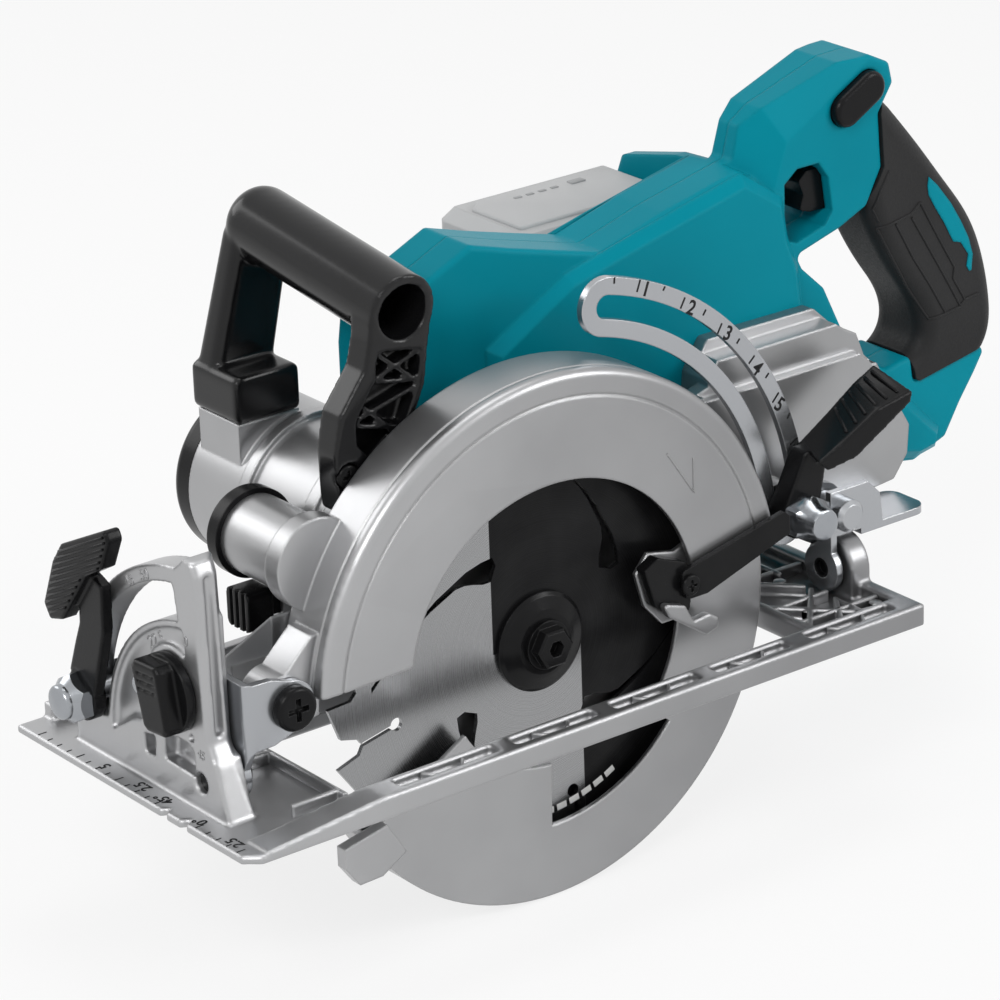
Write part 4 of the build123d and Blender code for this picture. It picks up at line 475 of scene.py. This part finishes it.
def markGuide(kit):
    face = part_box("depth_guide")[0][1] / mm
    ticks = []
    for (outX, outZ), (inX, inZ) in kit["ticks"]:
        run = Vector((outX - inX, 0, outZ - inZ))
        middle = point((outX + inX) / 2, face, (outZ + inZ) / 2)
        size = (run.length * mm, kit["tickWidth"] * mm, 2 * kit["thick"] * mm)
        ticks.append(roundBar(size, placed(middle, run, (run.z, 0, -run.x)), kit["tickSoft"] * mm, 1))
    settle(together(ticks), "guideTicks", "scaleInk", kit["body"])
    digits = []
    for words, (x, z) in kit["numbers"]:
        nearest = min(kit["ticks"], key=lambda tick: math.dist(tick[1], (x, z)))
        up = Vector((nearest[0][0] - nearest[1][0], 0, nearest[0][1] - nearest[1][1]))
        where = placed(point(x, face, z), (up.z, 0, -up.x), up)
        digits.append(number(words, kit["numberHeight"] * mm, kit["thick"] * mm, where, kit["bold"] * mm))
    settle(together(digits), "guideNumbers", "scaleInk", kit["body"])


markGuide(guideKit)
print("depth guide marked")

# Sole: edge scale with fine ticks

edgeKit = dict(
    body="base", slot="black_plastic", top=-23.3, edgeX=-158.5, thick=0.12, numberHeight=6.0, bold=0.08,
    numbers=[("5", (-153.6, 57.0)), ("2.5", (-152.6, 33.8)), ("45\u00b0", (-152.8, 20.1)),
             ("0\u00b0", (-153.2, -3.4)), ("2.5", (-153.6, -25.4))],
    tickFrom=-32.0, tickTo=96.0, tickStep=6.4, longEvery=4, longTick=3.6, shortTick=2.2, tickWidth=0.45,
    tickInset=1.0, tickSoft=0.02, skip=(-4.0, 16.5),
)


def markEdge(kit):
    digits = []
    for words, (x, y) in kit["numbers"]:
        where = placed(point(x, y, kit["top"]), (0, 1, 0), (-1, 0, 0))
        digits.append(number(words, kit["numberHeight"] * mm, kit["thick"] * mm, where, kit["bold"] * mm))
    settle(together(digits), "edgeNumbers", "scaleInk", kit["body"])
    ticks = []
    for count in range(int((kit["tickTo"] - kit["tickFrom"]) / kit["tickStep"]) + 1):
        y = kit["tickFrom"] + count * kit["tickStep"]
        if kit["skip"][0] < y < kit["skip"][1]:
            continue
        reach = kit["longTick"] if count % kit["longEvery"] == 0 else kit["shortTick"]
        middle = point(kit["edgeX"] + kit["tickInset"] + reach / 2, y, kit["top"])
        size = (reach * mm, kit["tickWidth"] * mm, 2 * kit["thick"] * mm)
        ticks.append(roundBar(size, placed(middle, (1, 0, 0), (0, 1, 0)), kit["tickSoft"] * mm, 1))
    settle(together(ticks), "edgeTicks", "scaleInk", kit["body"])


markEdge(edgeKit)
print("sole edge marked")

# Bevel quadrant: raised numbers, read outwards from the tilt axis

quadrantKit = dict(
    body="base", slot="light_casting", axis=(3.0, -12.5), thick=0.25,
    numbers=[("50", (31.2, 58.1), -148.0, 6.2), ("45", (41.2, 52.7), -148.0, 6.0),
             ("22.5", (30.2, 32.9), -145.5, 6.6), ("0", (7.0, 40.6), -148.0, 5.4),
             ("45", (1.6, -1.2), -148.0, 4.6)],
)


def markQuadrant(kit):
    digits = []
    for words, (y, z), x, height in kit["numbers"]:
        up = Vector((0, y - kit["axis"][0], z - kit["axis"][1]))
        where = placed(point(x, y, z), up.cross(Vector((-1, 0, 0))), up)
        digits.append(number(words, height * mm, kit["thick"] * mm, where))
    settle(together(digits), "quadrantNumbers", "lightCasting", kit["body"])


markQuadrant(quadrantKit)
print("quadrant marked")

# Bevel lever: ribs across the thumb pad

padKit = dict(
    body="bevel_clamp", slot="black_plastic", rise=0.8, width=1.0, inset=2.2, soft=0.35, shortest=2.0,
    outline=[(70.0, 60.6), (40.0, 75.0), (38.0, 71.0), (43.8, 58.9), (55.0, 52.7), (72.5, 30.4), (81.0, 28.0),
             (84.5, 33.4), (76.6, 51.9)],
    along=(-0.9016, 0.4326), first=82.6, last=62.5, pitch=2.0,
)


def ribPad(kit):
    along = Vector(kit["along"])
    across = Vector((along.y, -along.x))
    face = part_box("bevel_lever")[0][0] / mm
    ribs = []
    offset = kit["first"]
    while offset > kit["last"]:
        span = chord(kit["outline"], offset, along, across)
        reach = span[1] - span[0] - 2 * kit["inset"] if span else 0
        if reach > kit["shortest"]:
            centre = along * (span[0] + span[1]) / 2 + across * offset
            size = (reach * mm, kit["width"] * mm, 2 * kit["rise"] * mm)
            where = placed(point(face, centre.x, centre.y), (0, along.x, along.y), (0, across.x, across.y))
            ribs.append(roundBar(size, where, kit["soft"] * mm))
        offset -= kit["pitch"]
    settle(together(ribs), "bevelPadRibs", "blackPlastic", kit["body"])


ribPad(padKit)
print("bevel pad ribbed")

# Rubber grip: inlay, the border of its smooth panel and the lines across it

gripKit = dict(
    body="saw_body", node="grip_sleeve", start=30.0, bead=0.6, lineShare=0.85, inlayRise=0.35,
    inlay=[(234.1, 114.9), (238.6, 110.6), (245.7, 101.7), (251.1, 93.0), (255.4, 84.9), (257.7, 77.4),
           (257.1, 70.8), (256.0, 70.5), (254.5, 72.9), (255.4, 77.8), (251.4, 83.6), (247.3, 85.0),
           (242.1, 94.4), (237.6, 101.3), (234.1, 107.4), (233.5, 111.3)],
    border=[(229.7, 105.3), (224.8, 101.6), (215.1, 100.0), (209.1, 98.7), (212.4, 92.5), (217.8, 82.9),
            (224.5, 72.0), (230.6, 62.8), (235.4, 54.8), (242.7, 55.4), (251.2, 56.6), (253.9, 59.0),
            (261.2, 59.8)],
    lines=[[(229.7, 105.3), (236.8, 92.9), (242.1, 83.9), (248.0, 74.1), (247.4, 69.4), (253.5, 59.4)],
           [(225.2, 100.1), (235.0, 84.2), (244.9, 67.9), (251.2, 57.1)],
           [(216.9, 99.3), (226.1, 82.9), (235.0, 69.6), (243.3, 55.9)],
           [(213.4, 122.0), (208.7, 114.5), (206.4, 107.4), (209.1, 101.7)]],
)


def dressGrip(kit):
    def onSide(points):
        return [point(x, kit["start"], z) for x, z in points]

    inlay = wrapPlate(onSide(kit["inlay"]), kit["node"], "y", kit["inlayRise"] * mm)
    settle(inlay, "gripInlay", "tealPlastic", kit["body"])
    thin = kit["bead"] * kit["lineShare"] * mm
    beads = [bead(onSide(kit["border"]), kit["node"], "y", kit["bead"] * mm)]
    beads += [bead(onSide(line), kit["node"], "y", thin) for line in kit["lines"]]
    settle(together(beads), "gripLines", "blackRubber", kit["body"])


dressGrip(gripKit)
print("grip dressed")

# Blade: a row of white dashes in the dark print

dashKit = dict(body="blade_drive", slot="blade_steel", reach=70.6, size=(4.6, 2.6, 0.08), soft=0.03,
               first=-88.0, step=4.9, count=6)


def dashBlade(kit):
    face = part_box("blade")[0][1] / mm
    dashes = []
    for count in range(kit["count"]):
        angle = math.radians(kit["first"] + kit["step"] * count)
        out = Vector((math.cos(angle), 0, math.sin(angle)))
        where = placed(out * kit["reach"] * mm + point(0, face, 0), (out.z, 0, -out.x), out)
        dashes.append(roundBar(sized(kit["size"]), where, kit["soft"] * mm, 1))
    settle(together(dashes), "bladeDashes", "whiteInk", kit["body"])


dashBlade(dashKit)
print("blade dashed")

# Upper guard: raised tick on its near face

tickKit = dict(body="saw_body", slot="light_casting", node="upper_guard", start=-30.0, bead=0.4,
               line=[(52.9, 62.9), (65.2, 44.4), (65.2, 58.4)])


def tickGuard(kit):
    strokes = [point(x, kit["start"], z) for x, z in kit["line"]]
    tick = bead(strokes, kit["node"], "y", kit["bead"] * mm)
    settle(tick, "guardTick", "lightCasting", kit["body"])


tickGuard(tickKit)
print("guard marked")

# Clamp nuts: hexagon barrel with a coned and rounded end, one along Y and one along X

# each ring has its share of the length and its radius; None keeps the hexagon
nutKit = dict(across=17.0, sides=48, cornerDrop=1.1,
              rings=[(0.0, None), (0.52, None), (0.72, 6.7), (0.9, 6.5), (0.97, 6.0), (1.0, 5.2)])


def hexReach(angle, across):
    return across / 2 / math.cos((angle + math.pi / 6) % (math.pi / 3) - math.pi / 6)


def turnNut(kit, node, name, out, right, body):
    low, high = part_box(node)
    outward = Vector(out)
    length = abs((high - low).dot(outward))
    base = (low + high) / 2 - outward * length / 2
    bpy.ops.object.select_all(action="DESELECT")
    bpy.ops.mesh.primitive_circle_add(vertices=kit["sides"], radius=kit["across"] / 2 * mm, fill_type="NGON")
    editAll()
    for below, above in zip(kit["rings"], kit["rings"][1:]):
        rise = (above[0] - below[0]) * length
        bpy.ops.mesh.extrude_region_move(TRANSFORM_OT_translate={"value": (0, 0, rise)})
    bpy.ops.mesh.select_all(action="SELECT")
    bpy.ops.mesh.normals_make_consistent(inside=False)
    nut = editDone()
    for vertex in nut.data.vertices:
        share, reach = min(kit["rings"], key=lambda ring: abs(ring[0] * length - vertex.co.z))
        angle = math.atan2(vertex.co.y, vertex.co.x)
        flat = hexReach(angle, kit["across"]) * mm
        if reach is None and share:
            vertex.co.z -= kit["cornerDrop"] * (flat - kit["across"] / 2 * mm)
        distance = flat if reach is None else reach * mm
        vertex.co.x, vertex.co.y = distance * math.cos(angle), distance * math.sin(angle)
    nut.matrix_world = placed(base, right, outward.cross(Vector(right)))
    settle(nut, name, "nutPlate", body)
    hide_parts(node)


nodeBody = {node: body for body, held in frame["record"]["behaviour"]["bodies"].items() for node in held}
turnNut(nutKit, "depth_nut", "depthNut", (0, -1, 0), (1, 0, 0), nodeBody["depth_nut"])
turnNut(nutKit, "bevel_nut", "bevelNut", (-1, 0, 0), (0, 1, 0), nodeBody["bevel_nut"])
print("nuts turned")

# Moulded pieces: their CAD shape with its edges rounded over

mouldKits = [
    dict(node="base_plate", name="solePlate", finish="lightCasting", slot="light_casting", voxel=0.75,
         rounds=5, keep=0.44),
    dict(node="front_handle", name="frontHandle", finish="handlePlastic", slot="black_plastic",
         voxel=0.8, rounds=3, deepRounds=14, deepFrom=34.0, deepTo=46.0),
    dict(node="depth_lever", name="depthLever", finish="blackPlastic", slot="depth_paint", voxel=0.6,
         rounds=9),
    dict(node="bevel_lever", name="bevelLever", finish="blackPlastic", slot="black_plastic", voxel=0.5,
         rounds=5),
    dict(node="stop_knob", name="stopKnob", finish="blackPlastic", slot="black_plastic", voxel=0.4,
         rounds=3),
    dict(node="guard_knob", name="guardKnob", finish="blackPlastic", slot="black_plastic", voxel=0.4,
         rounds=4),
    dict(node="guard_finger", name="guardFinger", finish="lightCasting", slot="light_casting", voxel=0.4,
         rounds=4),
    dict(node="shaft_lock_button", name="shaftLockButton", finish="blackPlastic", slot="black_plastic",
         voxel=0.4, rounds=3),
]


def easeOver(piece, rounds, group=""):
    ease = piece.modifiers.new("ease", "SMOOTH")
    ease.factor = 0.5
    ease.iterations = rounds
    ease.vertex_group = group
    bpy.ops.object.modifier_apply(modifier="ease")


def mould(kit):
    piece = bpy.data.objects.new(kit["name"], nodes[kit["node"]].data.copy())
    bpy.context.collection.objects.link(piece)
    alone(piece)
    editAll()
    bpy.ops.mesh.remove_doubles(threshold=0.000002)
    editDone()
    grid = piece.modifiers.new("grid", "REMESH")
    grid.mode = "VOXEL"
    grid.voxel_size = kit["voxel"] * mm
    bpy.ops.object.modifier_apply(modifier="grid")
    easeOver(piece, kit["rounds"])
    if "deepRounds" in kit:  # the far leg has rounder edges than the near one
        deep = piece.vertex_groups.new(name="deep")
        span = kit["deepTo"] - kit["deepFrom"]
        for vertex in piece.data.vertices:
            share = (vertex.co.y / mm - kit["deepFrom"]) / span
            deep.add([vertex.index], min(1.0, max(0.0, share)), "REPLACE")
        easeOver(piece, kit["deepRounds"], "deep")
    if "keep" in kit:
        thin = piece.modifiers.new("thin", "DECIMATE")
        thin.ratio = kit["keep"]
        bpy.ops.object.modifier_apply(modifier="thin")
    bpy.ops.object.shade_smooth()
    piece.data.materials.clear()
    piece.data.materials.append(finishes[kit["finish"]])
    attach(piece, nodeBody[kit["node"]])
    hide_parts(kit["node"])
    print("moulded", kit["name"], len(piece.data.polygons))


for mouldKit in mouldKits:
    mould(mouldKit)

# Depth lever: ribs across the paddle's top

paddleKit = dict(
    body="depth_clamp", slot="depth_paint", pivot=(127.5, 14.5), nearY=-9.5, farY=4.2, rib=0.7, soft=0.5,
    across=(1, 0, 0.6),
    near=[(16.0, 31.9), (20.8, 34.4), (25.6, 36.8), (30.8, 38.9), (36.4, 40.2), (42.2, 41.5)],
    far=[(22.2, 36.3), (26.0, 38.8), (29.6, 41.1), (33.2, 43.3), (37.0, 45.3), (40.6, 47.0)],
)


def ribPaddle(kit):
    pieces = []
    for (nearX, nearZ), (farX, farZ) in zip(kit["near"], kit["far"]):
        start = point(kit["pivot"][0] + nearX, kit["nearY"], kit["pivot"][1] + nearZ)
        end = point(kit["pivot"][0] + farX, kit["farY"], kit["pivot"][1] + farZ)
        run = end - start
        size = (run.length, 2 * kit["rib"] * mm, 2 * kit["rib"] * mm)
        pieces.append(roundBar(size, placed((start + end) / 2, run, kit["across"]), kit["soft"] * mm))
    settle(together(pieces), "paddleRibs", "blackPlastic", kit["body"])


ribPaddle(paddleKit)
print("paddle ribbed")

# Sole: cast fins in the near rail's pockets, ribs and bosses in the rear bay

soleKit = dict(
    body="base", slot="light_casting", finAt=(-33.5, -20.1), finSize=(6.4, 1.3, 3.4), finLean=38.0,
    finSoft=0.4,
    pockets=[(-90.0, -46.0), (-38.0, 0.0), (8.0, 48.0), (56.0, 92.0), (102.0, 144.0)], finsEach=2,
    ribs=[((110.0, -20.0), (149.0, -20.0)), ((110.0, -4.0), (138.0, -4.0)), ((110.0, 24.0), (149.0, 24.0)),
          ((124.0, -28.0), (136.0, -11.0)), ((110.0, 58.0), (149.0, 58.0)), ((110.0, 90.0), (149.0, 90.0)),
          ((-127.0, -22.0), (-107.0, -22.0)), ((-127.0, 20.0), (-107.0, 20.0)),
          ((-107.0, -27.0), (-107.0, 38.0))],
    ribSize=(1.9, 5.2), floor=-23.3, sink=0.5, soft=0.5,
    bosses=[(121.0, -12.0), (131.0, 16.0), (145.0, -24.0)], bossReach=2.6, bossHeight=4.6,
)


def postAt(reach, height, where, soft):
    bpy.ops.object.select_all(action="DESELECT")
    bpy.ops.mesh.primitive_cylinder_add(vertices=32, radius=reach, depth=height, location=where)
    editAll()
    bpy.ops.mesh.edges_select_sharp(sharpness=math.radians(60))
    bpy.ops.mesh.bevel(offset=soft, segments=2, affect="EDGES")
    return editDone()


def ribSole(kit):
    pieces = []
    for start, end in kit["pockets"]:
        for count in range(kit["finsEach"]):
            x = start + (end - start) * (count + 1) / (kit["finsEach"] + 1)
            lean = math.radians(kit["finLean"] if count % 2 else -kit["finLean"])
            run = (math.sin(lean), math.cos(lean), 0)
            where = placed(point(x, *kit["finAt"]), run, (-run[1], run[0], 0))
            pieces.append(roundBar(sized(kit["finSize"]), where, kit["finSoft"] * mm))
    ribWidth, ribHeight = kit["ribSize"]
    foot = kit["floor"] - kit["sink"]
    for (startX, startY), (endX, endY) in kit["ribs"]:
        run = Vector((endX - startX, endY - startY, 0))
        middle = point((startX + endX) / 2, (startY + endY) / 2, foot + ribHeight / 2)
        size = sized((run.length, ribWidth, ribHeight))
        pieces.append(roundBar(size, placed(middle, run, (-run.y, run.x, 0)), kit["soft"] * mm))
    for x, y in kit["bosses"]:
        middle = point(x, y, foot + kit["bossHeight"] / 2)
        pieces.append(postAt(kit["bossReach"] * mm, kit["bossHeight"] * mm, middle, kit["soft"] * mm))
    settle(together(pieces), "soleRibs", "lightCasting", kit["body"])


ribSole(soleKit)
print("sole ribbed")

# Battery: raised top, charge lights and side ribs

batteryKit = dict(
    body="battery", slot="pale_plastic", rise=1.4, sink=1.0, soft=0.9,
    top=[(71.0, 95.0), (71.0, 126.0), (78.0, 132.0), (136.0, 132.0), (142.0, 126.0), (142.0, 95.0)],
    lamps=[(92.0, 124.0), (98.0, 124.0), (104.0, 124.0), (110.0, 124.0)], lampSize=(3.4, 1.8, 0.8),
    lampSoft=0.3, button=(121.0, 124.0), buttonSize=(7.0, 4.0, 1.2), buttonSoft=0.5,
    ribHeights=(24.0, 34.0, 44.0, 54.0, 64.0), ribSize=(34.0, 3.0, 1.6), ribSoft=0.6,
)


def dressBattery(kit):
    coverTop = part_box("battery_cover")[1].z / mm
    caseLow, caseHigh = (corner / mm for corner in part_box("battery_case"))
    outline = [point(x, y, coverTop - kit["sink"]) for x, y in kit["top"]]
    raised = cutPlate(outline, point(0, 0, kit["sink"] + kit["rise"]), kit["soft"] * mm, 3)
    settle(raised, "batteryTop", "palePlastic", kit["body"])
    flat = (1, 0, 0), (0, 1, 0)
    top = coverTop + kit["rise"]
    lights = []
    for x, y in kit["lamps"]:
        lights.append(roundBar(sized(kit["lampSize"]), placed(point(x, y, top), *flat), kit["lampSoft"] * mm))
    buttonAt = placed(point(*kit["button"], top), *flat)
    lights.append(roundBar(sized(kit["buttonSize"]), buttonAt, kit["buttonSoft"] * mm, 3))
    settle(together(lights), "batteryLights", "palePad", kit["body"])
    ribs = []
    middleY = (caseLow.y + caseHigh.y) / 2
    for z in kit["ribHeights"]:
        for x, right in ((caseHigh.x, (0, 1, 0)), (caseLow.x, (0, -1, 0))):
            where = placed(point(x, middleY, z), right, (0, 0, 1))
            ribs.append(roundBar(sized(kit["ribSize"]), where, kit["ribSoft"] * mm))
    settle(together(ribs), "batteryRibs", "palePlastic", kit["body"])


dressBattery(batteryKit)
print("battery dressed")

# Camera, floor and lamps

cameraKit = dict(place=(-0.9506, -1.2512, 0.6954), target=(-0.01461, 0.0, 0.05932), roll=-2.05, lens=168.26,
                 sensor=36.0, farthest=50.0)
stageKit = dict(floorZ=-0.1012, floorSize=14.0, floorColour=(0.86, 0.86, 0.86), floorRough=0.9,
                shadowShare=0.22, worldLight=0.45)
lampAim = Vector((0, 0, 0.04))
lampKits = [
    dict(name="keyLamp", place=(-1.4, -1.0, 1.4), size=0.75, power=18.0),
    dict(name="fillLamp", place=(1.3, -1.5, 0.9), size=0.9, power=17.0),
    dict(name="topLamp", place=(0.3, 0.2, 1.9), size=0.9, power=7.0),
    dict(name="backLamp", place=(-0.7, 1.6, 0.9), size=0.9, power=7.0),
]


def aimCamera(kit):
    bpy.ops.object.select_all(action="DESELECT")
    bpy.ops.object.camera_add(location=kit["place"])
    camera = bpy.context.object
    camera.name = "photoCamera"
    camera.data.sensor_width = kit["sensor"]
    camera.data.lens = kit["lens"]
    look = (Vector(kit["target"]) - Vector(kit["place"])).normalized()
    right = look.cross(Vector((0, 0, 1))).normalized()
    up = right.cross(look)
    roll = math.radians(kit["roll"])
    sideAxis = math.cos(roll) * right + math.sin(roll) * up
    upAxis = math.cos(roll) * up - math.sin(roll) * right
    turned = Matrix((sideAxis, upAxis, -look)).transposed().to_4x4()
    camera.matrix_world = Matrix.Translation(kit["place"]) @ turned
    camera.data.clip_end = kit["farthest"]
    bpy.context.scene.camera = camera


def seenWhite(tree):  # rays that see the paper as plain white
    path = tree.nodes.new("ShaderNodeLightPath").outputs
    direct = mathOn(tree, "MAXIMUM", path["Is Camera Ray"], path["Is Transmission Ray"])
    return mathOn(tree, "MAXIMUM", direct, path["Is Glossy Ray"])


def layStage(kit):
    bpy.ops.object.select_all(action="DESELECT")
    bpy.ops.mesh.primitive_plane_add(size=kit["floorSize"], location=(0, 0, kit["floorZ"]))
    floor = bpy.context.object
    floor.name = "studioFloor"
    finish, tree, shader, _ = startFinish("floorPaper")
    shader.inputs["Roughness"].default_value = kit["floorRough"]
    shader.inputs["Base Color"].default_value = (*kit["floorColour"], 1)
    glow = tree.nodes.new("ShaderNodeEmission")
    glow.inputs["Color"].default_value = (1, 1, 1, 1)
    blend = tree.nodes.new("ShaderNodeMixShader")
    share = mathOn(tree, "MULTIPLY", seenWhite(tree), 1.0 - kit["shadowShare"])
    tree.links.new(share, blend.inputs[0])
    tree.links.new(shader.outputs[0], blend.inputs[1])
    tree.links.new(glow.outputs[0], blend.inputs[2])
    tree.links.new(blend.outputs[0], tree.nodes["Material Output"].inputs["Surface"])
    floor.data.materials.append(finish)
    world = bpy.data.worlds.new("studioLight")
    bpy.context.scene.world = world
    world.use_nodes = True
    sky = world.node_tree
    strength = spanOn(sky, seenWhite(sky), 0.0, 1.0, kit["worldLight"], 1.0)
    sky.links.new(strength, sky.nodes["Background"].inputs["Strength"])
    sky.nodes["Background"].inputs["Color"].default_value = (1, 1, 1, 1)


def hangLamp(kit):
    bpy.ops.object.select_all(action="DESELECT")
    bpy.ops.object.light_add(type="AREA", location=kit["place"])
    lamp = bpy.context.object
    lamp.name = kit["name"]
    lamp.data.size = kit["size"]
    lamp.data.energy = kit["power"]
    lamp.rotation_euler = (lampAim - Vector(kit["place"])).to_track_quat("-Z", "Y").to_euler()


aimCamera(cameraKit)
layStage(stageKit)
for lampKit in lampKits:
    hangLamp(lampKit)
bpy.context.scene.view_settings.view_transform = "Standard"
print("stage set")
